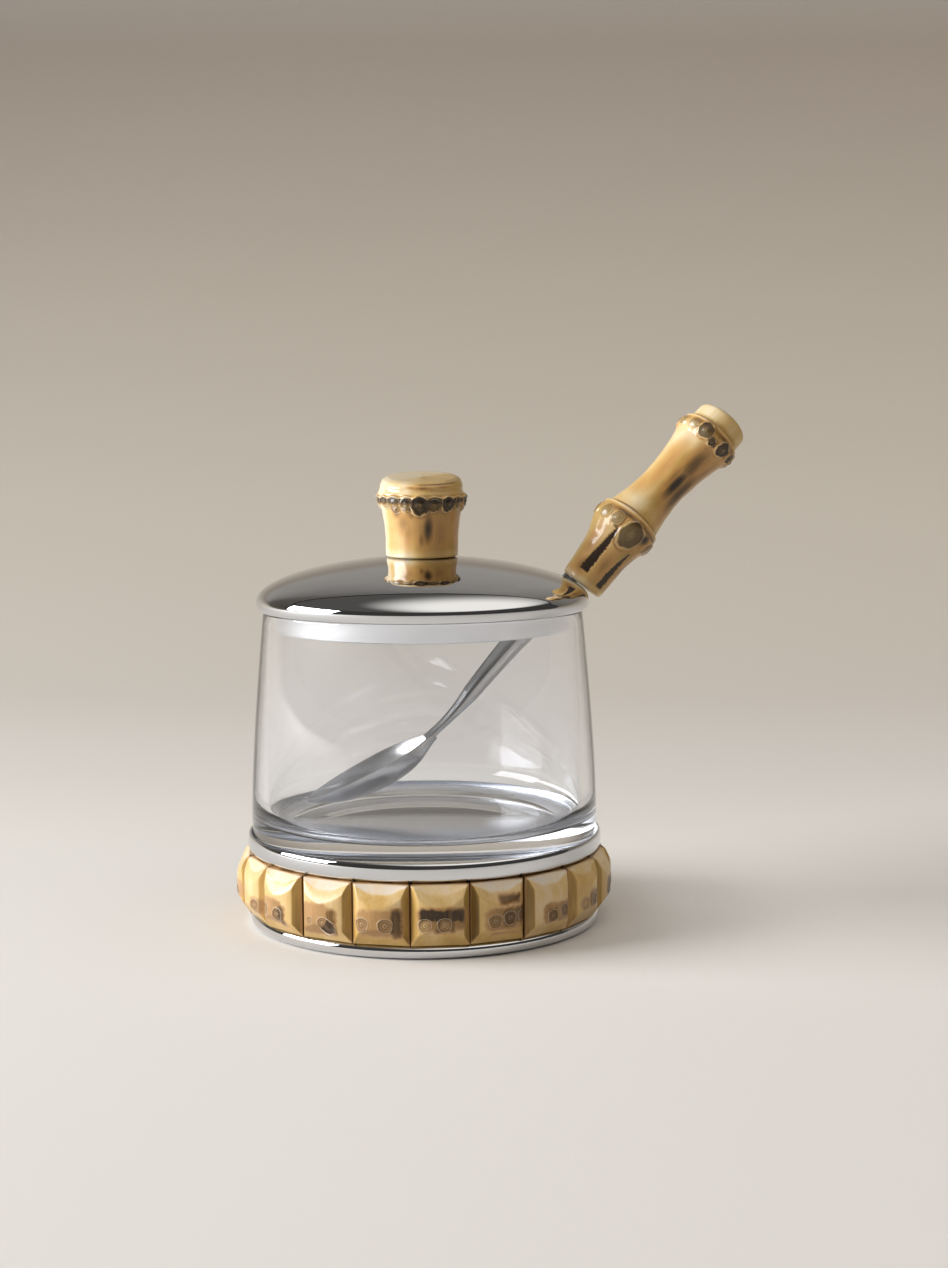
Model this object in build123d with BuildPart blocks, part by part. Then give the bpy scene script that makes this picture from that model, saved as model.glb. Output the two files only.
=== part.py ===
from build123d import *
from math import cos, hypot, radians, sin, sqrt, tan
import os

os.makedirs("parts", exist_ok=True)

# Driving sizes in millimetres and degrees. Origin on the table at the jar's axis, +Z up,
# and the spoon lies over +X in the XZ plane.

# Foot plate with its felt pad
pad_proud = 0.25
pad_thickness = 1.4
pad_radius = 41.0
pad_clearance = 0.3
foot_height = 3.65
foot_overhang = 0.5
foot_lip = 1.75

# Ring of root blocks on its drum
block_count = 20
block_turn = 15.8
block_height = 16.7
block_depth = 10.3
block_joint = 0.08
block_gap = 0.3
block_edge_in = 3.8
block_top_bevel = 5.9
block_brow_height = 2.6
block_brow_depth = 2.1
block_foot_bevel = 4.9
block_side_bevel = 1.75
block_crown = 1.3
block_swing_depth = 0.2
block_swing_step = 2.4
block_soft = 0.45
core_wall = 22.0
seat_in = 5.6

# Cup under the glass
cup_floor = 1.4
cup_height = 5.1
cup_wall = 1.0
cup_clearance = 0.3
cup_shoulder = 2.4
cup_lip = 0.3

# Screws of the base
screw_count = 3
screw_ring_radius = 33.0
screw_radius = 2.0
screw_head_radius = 3.8
screw_head_height = 1.9
screw_clearance = 0.3
screw_head_drop = 0.1
boss_wall = 2.6
boss_length = 6.0
thread_clearance = 0.05

# Glass
glass_foot_radius = 49.6
glass_mouth_radius = 43.3
glass_rim_wall = 2.3
glass_wall = 4.4
glass_base = 7.0
glass_height = 67.4
glass_straight = 7.4
glass_foot_taper = 0.2
glass_rim_round = 0.7
glass_heel = 2.0
glass_punt = 0.5
glass_punt_run = 2.0
glass_land = 9.0
glass_floor_round = 6.5
glass_bend_share = 0.3

# Lid
lid_overhang = 1.9
lid_lip = 1.2
lid_bead = 2.4
lid_rise = 12.6
lid_sheet = 1.3
lid_fullness = 0.61
plug_clearance = 1.1
plug_depth = 5.7
plug_wall = 1.0
plug_round = 0.4
plug_hold = 3.6
solder_gap = 0.05
notch_clearance = 0.9
notch_reach = 5.0

# Knob on the lid
knob_height = 22.75
knob_sink = 0.3
knob_foot_radius = 10.0
knob_foot_round = 0.9
knob_waist_radius = 10.65
knob_collar_radius = 12.2
knob_collar_height = 16.4
knob_ridge_height = 17.8
knob_groove_height = 18.7
knob_head_radius = 11.6
knob_head_draw = 1.5
knob_saw_tilt = 7.5
knob_saw_turn = -98.0
knob_top_round = 0.7
knob_bud_count = 17
knob_bud_height = 15.2
knob_bud_radius = 1.8
knob_seat_radius = 9.0
knob_seat_depth = 0.6
knob_screw_length = 18.0
knob_screw_end_gap = 1.0
knob_screw_radius = 2.0
pan_head_radius = 3.6
pan_head_height = 2.4
pan_head_round = 0.84
washer_radius = 5.0
washer_thickness = 0.8
washer_drop = 0.2

# Spoon
spoon_seat_in = 1.55
spoon_seat_up = 3.3
shaft_offset = 2.0
shaft_top_angle = 44.0
shaft_bend_angle = 6.0
shaft_top_radius = 3.85
shaft_foot_radius = 2.45
shaft_taper_power = 1.6
neck_length = 15.0
neck_bend_angle = 14.0
neck_thickness = 2.5
neck_width = 4.4
tang_radius = 1.4
tang_length = 9.0
bowl_length = 41.0
bowl_half_width = 11.2
bowl_depth = 7.3
bowl_sheet = 1.0
bowl_land = 0.8
bowl_sheet_most_share = 0.8
bowl_land_most_share = 0.5
bowl_angle = 26.2
spoon_tip_clearance = 5.43
stud_radius = 2.0
stud_in_shaft = 9.0
stud_in_handle = 24.0
handle_lower_length = 20.5
handle_upper_length = 42.5
handle_foot_angle = 52.0
handle_angle = 46.0
handle_ridge_reach = 3.6
handle_groove_width = 1.0
handle_groove_depth = 0.75
handle_end_collar_back = 8.2
handle_end_ridge_back = 5.2
handle_neck_reach = 5.5
handle_round = 1.0
handle_swell_share = 0.25
handle_shoulder_share = 0.7
handle_waist_share = 0.4
handle_bud_count = 10
handle_bud_radius = 1.8
handle_end_bud_count = 13
handle_end_bud_radius = 1.5

# Radius of the handle at its foot, swellings and end
handle_foot_radius = 6.4
handle_swell_radius = 6.7
handle_shoulder_radius = 7.9
handle_collar_radius = 9.6
handle_ridge_radius = 9.15
handle_waist_radius = 6.55
handle_neck_radius = 7.75
handle_end_collar_radius = 9.15
handle_end_ridge_radius = 8.75
handle_end_radius = 7.85

# Buds stand out by this share of their radius, and each is up to this share larger or smaller
bud_stand_share = 0.4
bud_swing_share = 0.18
bud_swing_step = 2.6

# Share of a quarter round's radius from its corner to its middle
corner_share = 1 - sqrt(0.5)

# Heights and radii that follow
foot_bottom = pad_proud
foot_top = foot_bottom + foot_height
block_bottom = foot_top + block_gap
block_top = block_bottom + block_height
core_top = block_top + block_gap
cup_inside = core_top + cup_floor
cup_top = core_top + cup_height
glass_bottom = cup_inside
glass_floor = glass_bottom + glass_base
glass_top = glass_bottom + glass_height
glass_rim_radius = glass_mouth_radius + glass_rim_wall
cup_bore = glass_foot_radius + cup_clearance
bead_radius = cup_bore + cup_wall
foot_radius = bead_radius - foot_overhang
core_flat = glass_foot_radius - seat_in
lid_radius = glass_rim_radius + lid_overhang
lid_bottom = glass_top
lid_widest = lid_bottom + lid_bead
lid_apex = lid_widest + lid_rise
plug_radius = glass_mouth_radius - plug_clearance
plug_bottom = lid_bottom - plug_depth
block_step = 360 / block_count


# Plane with its x axis outward at an angle round the jar and its y axis up
def upright(angle):
    turn = radians(angle)
    return Plane(origin=(0, 0, 0), x_dir=(cos(turn), sin(turn), 0), z_dir=(sin(turn), -cos(turn), 0))


# Plane across the spoon at a place in its XZ plane, facing along the spoon at an angle above level.
# Its x axis is level and its y axis points to the spoon's upper side.
def across(place, angle):
    lean = radians(angle)
    return Plane(origin=(place[0], 0, place[1]), x_dir=(0, 1, 0), z_dir=(cos(lean), 0, sin(lean)))


# Place reached from a start by a run that turns evenly from one angle to another
def along(start, angle, turn, length, run):
    swing = radians(turn) * run / length
    chord = run * (sin(swing / 2) / (swing / 2) if abs(swing) > 1e-6 else 1)
    lean = radians(angle) + swing / 2
    return (start[0] + chord * cos(lean), start[1] + chord * sin(lean))


# Radius of one bud in its ring
def bud_size(radius, number):
    return radius * (1 + bud_swing_share * sin(bud_swing_step * number))


def keep(piece, name):
    piece.part.label = name
    export_step(piece.part, f"parts/{name}.step")


# Foot pad: felt disc let into the foot plate, a little proud of it
with BuildPart() as foot_pad:
    with BuildSketch(Plane.XY):
        Circle(pad_radius)
    extrude(amount=pad_thickness)
keep(foot_pad, "foot_pad")

# Foot plate: turned disc with a half-round rim, a recess for the pad and countersunk screw holes
with BuildPart() as foot_flange:
    with BuildSketch(Plane.XZ):
        with BuildLine():
            recess = pad_radius + pad_clearance
            Polyline(
                (0, foot_top),
                (0, pad_thickness),
                (recess, pad_thickness),
                (recess, foot_bottom),
                (foot_radius - foot_lip, foot_bottom),
            )
            ThreePointArc(
                (foot_radius - foot_lip, foot_bottom),
                (foot_radius, foot_bottom + foot_height / 2),
                (foot_radius - foot_lip, foot_top),
            )
            Line((foot_radius - foot_lip, foot_top), (0, foot_top))
        make_face()
    revolve(axis=Axis.Z)
    with Locations(Plane(origin=(0, 0, pad_thickness), x_dir=(1, 0, 0), z_dir=(0, 0, -1))):
        with PolarLocations(screw_ring_radius, screw_count):
            CounterSinkHole(
                radius=screw_radius + screw_clearance,
                counter_sink_radius=screw_head_radius + screw_clearance,
            )
keep(foot_flange, "foot_flange")

# Drum: twenty-sided core with a flat for each block, open in the middle
boss_radius = screw_radius + boss_wall
with BuildPart() as base_core:
    with BuildSketch(Plane.XY.offset(foot_top)):
        RegularPolygon(
            core_flat, block_count, major_radius=False, rotation=block_turn - block_step / 2
        )
        Circle(core_flat - core_wall, mode=Mode.SUBTRACT)
    extrude(amount=core_top - foot_top)
    with BuildSketch(Plane.XY.offset(foot_top)):
        with PolarLocations(screw_ring_radius, screw_count):
            Circle(screw_radius + screw_clearance)
    extrude(amount=core_top - foot_top, mode=Mode.SUBTRACT)
    with BuildSketch(Plane.XY.offset(core_top)):
        with PolarLocations(screw_ring_radius, screw_count):
            Circle(boss_radius + screw_clearance)
    extrude(amount=-(boss_length + screw_clearance), mode=Mode.SUBTRACT)
keep(base_core, "base_core")

# Root blocks: each is the space shared by a bevelled side outline and a crowned plan outline,
# so that the flat bevels cut the round root face in curves. The top has two bevels, a brow and a
# longer one under it, and the slices differ a little in depth.
half_back = core_flat * tan(radians(block_step / 2)) - block_joint
for number in range(block_count):
    depth = block_depth + block_swing_depth * sin(block_swing_step * number)
    face = core_flat + depth
    edge = face - block_edge_in
    half_edge = edge * tan(radians(block_step / 2)) - block_joint
    angle = block_turn + number * block_step
    level = Plane.XY.offset(block_bottom).rotated((0, 0, angle))
    with BuildPart() as block:
        with BuildSketch(upright(angle)):
            with BuildLine():
                Polyline(
                    (core_flat, block_bottom),
                    (edge, block_bottom),
                    (face, block_bottom + block_foot_bevel),
                    (face, block_top - block_top_bevel),
                    (edge + block_brow_depth, block_top - block_brow_height),
                    (edge, block_top),
                    (core_flat, block_top),
                    close=True,
                )
            make_face()
        extrude(amount=half_edge + block_side_bevel, both=True)
        with BuildSketch(level):
            with BuildLine():
                shoulder = face - block_crown
                half_face = half_edge - block_side_bevel
                Polyline(
                    (shoulder, -half_face),
                    (edge, -half_edge),
                    (core_flat, -half_back),
                    (core_flat, half_back),
                    (edge, half_edge),
                    (shoulder, half_face),
                )
                ThreePointArc((shoulder, half_face), (face, 0), (shoulder, -half_face))
            make_face()
        extrude(amount=block_height, mode=Mode.INTERSECT)
        creases = block.edges().filter_by(
            lambda crease: hypot(crease.center().X, crease.center().Y) > edge + block_soft
        )
        fillet(creases, block_soft)
    keep(block, f"block_{number + 1:02d}")

# Cup: shallow turned dish with a rounded bead, and three threaded bosses under its floor
with BuildPart() as cup:
    with BuildSketch(Plane.XZ):
        with BuildLine():
            Polyline(
                (0, cup_inside),
                (0, core_top),
                (cup_bore - cup_wall / 2, core_top),
            )
            Bezier(
                (cup_bore - cup_wall / 2, core_top),
                (bead_radius, core_top),
                (bead_radius, core_top + cup_shoulder),
            )
            Bezier(
                (bead_radius, core_top + cup_shoulder),
                (bead_radius, cup_top),
                (cup_bore + cup_lip, cup_top),
            )
            Polyline(
                (cup_bore + cup_lip, cup_top),
                (cup_bore, cup_top - cup_lip),
                (cup_bore, cup_inside),
                (0, cup_inside),
            )
        make_face()
    revolve(axis=Axis.Z)
    with BuildSketch(Plane.XY.offset(core_top)):
        with PolarLocations(screw_ring_radius, screw_count):
            Circle(boss_radius)
    extrude(amount=-boss_length)
    with BuildSketch(Plane.XY.offset(core_top - boss_length)):
        with PolarLocations(screw_ring_radius, screw_count):
            Circle(screw_radius + thread_clearance)
    extrude(amount=boss_length, mode=Mode.SUBTRACT)
keep(cup, "cup")

# Base screws: countersunk heads just under the pad, threads in the cup's bosses
screw_start = pad_thickness + screw_head_drop
upward = (Align.CENTER, Align.CENTER, Align.MIN)
with BuildPart(Plane.XY.offset(screw_start)) as base_screws:
    with PolarLocations(screw_ring_radius, screw_count):
        Cone(screw_head_radius, screw_radius, screw_head_height, align=upward)
        Cylinder(screw_radius, core_top - screw_radius - screw_start, align=upward)
keep(base_screws, "base_screws")

# Glass: thick base on a flat land, outside and inside curves that draw in to the mouth
with BuildPart() as glass_jar:
    with BuildSketch(Plane.XZ):
        with BuildLine():
            heel_radius = glass_foot_radius - glass_foot_taper
            land_in = heel_radius - glass_heel - glass_land
            knee = glass_bottom + glass_straight
            rim_low = glass_top - glass_rim_round
            inner_foot = glass_foot_radius - glass_wall
            bend = (glass_top - knee) * glass_bend_share
            Polyline(
                (0, glass_floor),
                (0, glass_bottom + glass_punt),
                (land_in - glass_punt_run, glass_bottom + glass_punt),
                (land_in, glass_bottom),
                (heel_radius - glass_heel, glass_bottom),
            )
            ThreePointArc(
                (heel_radius - glass_heel, glass_bottom),
                (heel_radius - glass_heel * corner_share, glass_bottom + glass_heel * corner_share),
                (heel_radius, glass_bottom + glass_heel),
            )
            Line((heel_radius, glass_bottom + glass_heel), (glass_foot_radius, knee))
            Bezier(
                (glass_foot_radius, knee),
                (glass_foot_radius, knee + bend),
                (glass_rim_radius, rim_low),
            )
            ThreePointArc(
                (glass_rim_radius, rim_low),
                (
                    glass_rim_radius - glass_rim_round * corner_share,
                    glass_top - glass_rim_round * corner_share,
                ),
                (glass_rim_radius - glass_rim_round, glass_top),
            )
            Line(
                (glass_rim_radius - glass_rim_round, glass_top),
                (glass_mouth_radius + glass_rim_round, glass_top),
            )
            ThreePointArc(
                (glass_mouth_radius + glass_rim_round, glass_top),
                (
                    glass_mouth_radius + glass_rim_round * corner_share,
                    glass_top - glass_rim_round * corner_share,
                ),
                (glass_mouth_radius, rim_low),
            )
            Bezier(
                (glass_mouth_radius, rim_low),
                (inner_foot, glass_floor + glass_floor_round + bend),
                (inner_foot, glass_floor + glass_floor_round),
            )
            ThreePointArc(
                (inner_foot, glass_floor + glass_floor_round),
                (
                    inner_foot - glass_floor_round * corner_share,
                    glass_floor + glass_floor_round * corner_share,
                ),
                (inner_foot - glass_floor_round, glass_floor),
            )
            Line((inner_foot - glass_floor_round, glass_floor), (0, glass_floor))
        make_face()
    revolve(axis=Axis.Z)
keep(glass_jar, "glass_jar")

# Spoon places, worked out from the point where the handle's foot rests over the lid's shoulder.
# The shaft is as long as lets the bowl's tip stop just over the glass's floor.
handle_foot = (lid_radius - spoon_seat_in, lid_widest + spoon_seat_up)
foot_lean = radians(handle_foot_angle)
shaft_top = (
    handle_foot[0] - shaft_offset * sin(foot_lean),
    handle_foot[1] + shaft_offset * cos(foot_lean),
)
shaft_down = shaft_top_angle + 180
shaft_foot_angle = shaft_top_angle + shaft_bend_angle
neck_end_angle = bowl_angle + neck_bend_angle
neck_turn = neck_end_angle - shaft_foot_angle
bowl_lean = radians(bowl_angle)
shaft_drop_share = -along((0, 0), shaft_down, shaft_bend_angle, 1, 1)[1]
neck_drop = -along((0, 0), shaft_foot_angle + 180, neck_turn, neck_length, neck_length)[1]
bowl_drop = bowl_length * sin(bowl_lean)
tip_height = glass_floor + spoon_tip_clearance
shaft_length = (shaft_top[1] - neck_drop - bowl_drop - tip_height) / shaft_drop_share
shaft_foot = along(shaft_top, shaft_down, shaft_bend_angle, shaft_length, shaft_length)
stud_foot = along(shaft_top, shaft_down, 0, 1, stud_in_shaft)
notch_half = shaft_top_radius + notch_clearance

# Notch in plan: open at the rim, round at its inner end
with BuildSketch(Plane.XY.offset(plug_bottom)) as notch:
    with Locations((lid_radius - notch_reach, 0)):
        Circle(notch_half)
    with Locations((lid_radius - notch_reach, 0)):
        Rectangle(2 * notch_reach, 2 * notch_half, align=(Align.MIN, Align.CENTER))

# Lid dome: spun dome with a rounded rim, hollow under, bored for the plug, notched for the spoon
plug_bore = plug_radius + solder_gap
under_apex = lid_apex - lid_sheet
under_rim = lid_bottom + plug_hold
with BuildPart() as lid_dome:
    with BuildSketch(Plane.XZ):
        with BuildLine():
            Polyline(
                (plug_bore, under_rim),
                (plug_bore, lid_bottom),
                (lid_radius - lid_lip, lid_bottom),
            )
            ThreePointArc(
                (lid_radius - lid_lip, lid_bottom),
                (lid_radius - lid_lip * corner_share, lid_bottom + lid_bead * corner_share),
                (lid_radius, lid_widest),
            )
            Bezier(
                (lid_radius, lid_widest),
                (lid_radius, lid_widest + lid_fullness * lid_rise),
                (lid_radius * (1 - lid_fullness), lid_apex),
                (0, lid_apex),
            )
            Line((0, lid_apex), (0, under_apex))
            Bezier(
                (0, under_apex),
                (plug_bore * (1 - lid_fullness), under_apex),
                (plug_bore, under_rim + lid_fullness * (under_apex - under_rim)),
                (plug_bore, under_rim),
            )
        make_face()
    revolve(axis=Axis.Z)
    with BuildSketch(Plane.XY.offset(under_apex - lid_sheet)):
        Circle(knob_screw_radius + solder_gap)
    extrude(amount=3 * lid_sheet, mode=Mode.SUBTRACT)
    add(notch.sketch)
    extrude(amount=lid_apex - plug_bottom, mode=Mode.SUBTRACT)
keep(lid_dome, "lid_dome")

# Plug: skirt ring inside the glass mouth, with a rounded lower edge and the same notch
with BuildPart() as lid_plug:
    with BuildSketch(Plane.XZ):
        with Locations((plug_radius - plug_wall, plug_bottom)):
            Rectangle(plug_wall, under_rim - plug_bottom, align=(Align.MIN, Align.MIN))
    revolve(axis=Axis.Z)
    fillet(lid_plug.edges().group_by(Axis.Z)[0], plug_round)
    add(notch.sketch)
    extrude(amount=lid_apex - plug_bottom, mode=Mode.SUBTRACT)
keep(lid_plug, "lid_plug")

# Knob: turned root that widens to a collar with a ring of buds, a sharp ridge and a groove. The head
# over it is sawn off a little out of square, and the foot is dished to sit on the dome.
knob_bottom = lid_apex - knob_sink
knob_saw = (0, 0, knob_bottom + knob_height)
saw_lean, saw_turn = radians(knob_saw_tilt), radians(knob_saw_turn)
saw_facing = (sin(saw_lean) * cos(saw_turn), sin(saw_lean) * sin(saw_turn), cos(saw_lean))
with BuildPart() as knob:
    with BuildSketch(Plane.XZ):
        with BuildLine():
            knob_side = knob_bottom + knob_foot_round
            knob_groove = knob_bottom + knob_groove_height
            knob_stock = knob_bottom + knob_height + knob_head_radius * sin(saw_lean)
            Polyline(
                (0, knob_stock),
                (0, knob_bottom + knob_seat_depth),
                (knob_seat_radius, knob_bottom),
                (knob_foot_radius - knob_foot_round, knob_bottom),
            )
            ThreePointArc(
                (knob_foot_radius - knob_foot_round, knob_bottom),
                (
                    knob_foot_radius - knob_foot_round * corner_share,
                    knob_bottom + knob_foot_round * corner_share,
                ),
                (knob_foot_radius, knob_side),
            )
            Spline(
                (knob_foot_radius, knob_side),
                (knob_waist_radius, knob_bottom + knob_collar_height / 2),
                (knob_collar_radius, knob_bottom + knob_collar_height),
                tangents=[(0.05, 1), (0.1, 1)],
            )
            Polyline(
                (knob_collar_radius, knob_bottom + knob_collar_height),
                (knob_collar_radius, knob_bottom + knob_ridge_height),
                (knob_head_radius, knob_groove),
                (knob_head_radius - knob_head_draw, knob_stock),
                (0, knob_stock),
            )
        make_face()
    revolve(axis=Axis.Z)
    split(bisect_by=Plane(origin=knob_saw, z_dir=saw_facing), keep=Keep.BOTTOM)
    fillet(knob.faces().sort_by(Axis.Z)[-1].edges(), knob_top_round)
    for number in range(knob_bud_count):
        bud = bud_size(knob_bud_radius, number)
        turn = radians((number + 0.5) * 360 / knob_bud_count)
        out = knob_collar_radius - bud * (1 - bud_stand_share)
        with Locations((out * cos(turn), out * sin(turn), knob_bottom + knob_bud_height)):
            Sphere(bud)
    with BuildSketch(Plane.XY.offset(knob_bottom)):
        Circle(knob_screw_radius + thread_clearance)
    extrude(amount=knob_screw_length, mode=Mode.SUBTRACT)
keep(knob, "knob")

# Knob screw and washer: from under the dome up into the knob
washer_top = under_apex - washer_drop
with BuildPart() as knob_washer:
    with BuildSketch(Plane.XY.offset(washer_top - washer_thickness)):
        Circle(washer_radius)
        Circle(knob_screw_radius + thread_clearance, mode=Mode.SUBTRACT)
    extrude(amount=washer_thickness)
keep(knob_washer, "knob_washer")

head_top = washer_top - washer_thickness
with BuildPart() as knob_screw:
    with BuildSketch(Plane.XY.offset(head_top - pan_head_height)):
        Circle(pan_head_radius)
    extrude(amount=pan_head_height)
    fillet(knob_screw.edges().group_by(Axis.Z)[0], pan_head_round)
    with BuildSketch(Plane.XY.offset(head_top)):
        Circle(knob_screw_radius)
    extrude(amount=knob_bottom + knob_screw_length - knob_screw_end_gap - head_top)
keep(knob_screw, "knob_screw")

# Spoon shaft: round and tapered, bent a little, bored at both ends
with BuildPart() as spoon_shaft:
    for part_way in (0, 0.25, 0.5, 0.75, 1):
        run = shaft_length * part_way
        place = along(shaft_top, shaft_down, shaft_bend_angle, shaft_length, run)
        radius = shaft_top_radius + (shaft_foot_radius - shaft_top_radius) * part_way**shaft_taper_power
        lean = shaft_top_angle + shaft_bend_angle * part_way
        with BuildSketch(across(place, lean if part_way else handle_foot_angle)):
            Circle(radius)
    loft()
    with BuildSketch(across(stud_foot, shaft_top_angle)):
        Circle(stud_radius + thread_clearance)
    extrude(amount=stud_in_shaft + stud_radius, mode=Mode.SUBTRACT)
    with BuildSketch(across(shaft_foot, shaft_foot_angle)):
        Circle(tang_radius + thread_clearance)
    extrude(amount=tang_length, mode=Mode.SUBTRACT)
keep(spoon_shaft, "spoon_shaft")

# Spoon bowl: lofted through crescents from the tip to the neck, then a bar that swells to the shaft
# and ends in a tang. Each crescent is a share of the way, of the half width, of the depth, and the sheet.
neck_start = along(shaft_foot, shaft_foot_angle + 180, neck_turn, neck_length, neck_length)
tip = (neck_start[0] - bowl_length * cos(bowl_lean), neck_start[1] - bowl_drop)
crescents = (
    (0.0, 0.15, 0.12, 0.7),
    (0.07, 0.46, 0.38, 1.0),
    (0.2, 0.76, 0.7, 1.0),
    (0.42, 0.98, 0.97, 1.0),
    (0.62, 0.98, 1.0, 1.0),
    (0.8, 0.74, 0.82, 1.1),
    (0.92, 0.4, 0.5, 1.4),
    (1.0, 0.2, 0.3, 1.7),
)
with BuildPart() as spoon_bowl:
    for way, wide, deep, thick in crescents:
        half = bowl_half_width * wide
        drop = bowl_depth * deep
        sheet = min(bowl_sheet * thick, drop * bowl_sheet_most_share)
        land = min(bowl_land, half * bowl_land_most_share)
        place = (tip[0] + way * bowl_length * cos(bowl_lean), tip[1] + way * bowl_drop)
        with BuildSketch(across(place, bowl_angle)):
            with BuildLine():
                ThreePointArc((-half, 0), (0, -drop), (half, 0))
                Line((half, 0), (half - land, 0))
                ThreePointArc((half - land, 0), (0, -drop + sheet), (-half + land, 0))
                Line((-half + land, 0), (-half, 0))
            make_face()
    loft()
    for part_way in (-0.2, 0.35, 0.7, 1):
        run = neck_length * (1 - part_way)
        place = along(shaft_foot, shaft_foot_angle + 180, neck_turn, neck_length, run)
        share = max(part_way, 0)
        half_thick = neck_thickness / 2 + (shaft_foot_radius - neck_thickness / 2) * share**2
        half_wide = neck_width / 2 + (shaft_foot_radius - neck_width / 2) * share**2
        with BuildSketch(across(place, shaft_foot_angle + neck_turn * (1 - part_way))):
            Ellipse(half_wide, half_thick)
    loft()
    with BuildSketch(across(shaft_foot, shaft_foot_angle)):
        Circle(tang_radius)
    extrude(amount=tang_length - thread_clearance)
keep(spoon_bowl, "spoon_bowl")

# Stud: threaded rod from the shaft into the handle
stud_start = along(stud_foot, shaft_top_angle, 0, 1, thread_clearance)
with BuildPart() as handle_stud:
    with BuildSketch(across(stud_start, shaft_top_angle)):
        Circle(stud_radius)
    extrude(amount=stud_in_shaft + stud_in_handle - 2 * thread_clearance)
keep(handle_stud, "handle_stud")

# Handle: bamboo root of two joints. Each is turned about its own axis, and they meet a little out of
# line in the round swelling of the lower collar. Both collars have a ring of buds, a sharp ridge and
# a groove. Profiles run along the axis and outward.
collar_place = along(handle_foot, handle_foot_angle, 0, 1, handle_lower_length)
lower_axis = Plane(
    origin=(handle_foot[0], 0, handle_foot[1]),
    x_dir=(cos(foot_lean), 0, sin(foot_lean)),
    z_dir=(0, -1, 0),
)
upper_lean = radians(handle_angle)
upper_axis = Plane(
    origin=(collar_place[0], 0, collar_place[1]),
    x_dir=(cos(upper_lean), 0, sin(upper_lean)),
    z_dir=(0, -1, 0),
)
with BuildPart() as spoon_handle:
    with BuildSketch(lower_axis):
        with BuildLine():
            Polyline(
                (handle_lower_length, 0),
                (0, 0),
                (0, handle_foot_radius - handle_round),
            )
            ThreePointArc(
                (0, handle_foot_radius - handle_round),
                (handle_round * corner_share, handle_foot_radius - handle_round * corner_share),
                (handle_round, handle_foot_radius),
            )
            Spline(
                (handle_round, handle_foot_radius),
                (handle_lower_length * handle_swell_share, handle_swell_radius),
                (handle_lower_length * handle_shoulder_share, handle_shoulder_radius),
                (handle_lower_length, handle_collar_radius),
                tangents=[(1, 0.25), (1, 0.2)],
            )
            Line((handle_lower_length, handle_collar_radius), (handle_lower_length, 0))
        make_face()
    revolve(axis=Axis(lower_axis.origin, lower_axis.x_dir))
    with BuildSketch(upper_axis):
        with BuildLine():
            groove = handle_ridge_reach + handle_groove_width
            end_collar = handle_upper_length - handle_end_collar_back
            end_ridge = handle_upper_length - handle_end_ridge_back
            end_groove = end_ridge + handle_groove_width
            Polyline(
                (handle_ridge_reach, handle_ridge_radius),
                (0, handle_collar_radius),
                (0, 0),
                (handle_upper_length, 0),
                (handle_upper_length, handle_end_radius - handle_round),
            )
            ThreePointArc(
                (handle_upper_length, handle_end_radius - handle_round),
                (
                    handle_upper_length - handle_round * corner_share,
                    handle_end_radius - handle_round * corner_share,
                ),
                (handle_upper_length - handle_round, handle_end_radius),
            )
            Polyline(
                (handle_upper_length - handle_round, handle_end_radius),
                (end_groove, handle_end_radius),
                (end_ridge, handle_end_ridge_radius),
                (end_collar, handle_end_collar_radius),
            )
            Spline(
                (end_collar, handle_end_collar_radius),
                (end_collar - handle_neck_reach, handle_neck_radius),
                ((groove + end_collar) * handle_waist_share, handle_waist_radius),
                (groove, handle_ridge_radius - handle_groove_depth),
                tangents=[(-1, -0.1), (-1, 0.4)],
            )
            Line(
                (groove, handle_ridge_radius - handle_groove_depth),
                (handle_ridge_reach, handle_ridge_radius),
            )
        make_face()
    revolve(axis=Axis(upper_axis.origin, upper_axis.x_dir))
    with Locations((collar_place[0], 0, collar_place[1])):
        Sphere(handle_collar_radius)
    for ring_run, ring_radius, bud_count, bud_radius in (
        (0, handle_collar_radius, handle_bud_count, handle_bud_radius),
        (end_collar, handle_end_collar_radius, handle_end_bud_count, handle_end_bud_radius),
    ):
        ring_place = along(collar_place, handle_angle, 0, 1, ring_run)
        ring_plane = across(ring_place, handle_angle)
        for number in range(bud_count):
            bud = bud_size(bud_radius, number)
            turn = radians((number + 0.5) * 360 / bud_count)
            out = ring_radius - bud * (1 - bud_stand_share)
            with Locations(ring_plane.from_local_coords((out * cos(turn), out * sin(turn), 0))):
                Sphere(bud)
    with BuildSketch(across(along(shaft_top, shaft_down, 0, 1, stud_radius), shaft_top_angle)):
        Circle(stud_radius + thread_clearance)
    extrude(amount=stud_in_handle + stud_radius, mode=Mode.SUBTRACT)
keep(spoon_handle, "spoon_handle")
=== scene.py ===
from math import atan2, cos, exp, hypot, log, pi, radians, sin, tan
import bpy
from mathutils import Matrix, Vector, noise


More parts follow.
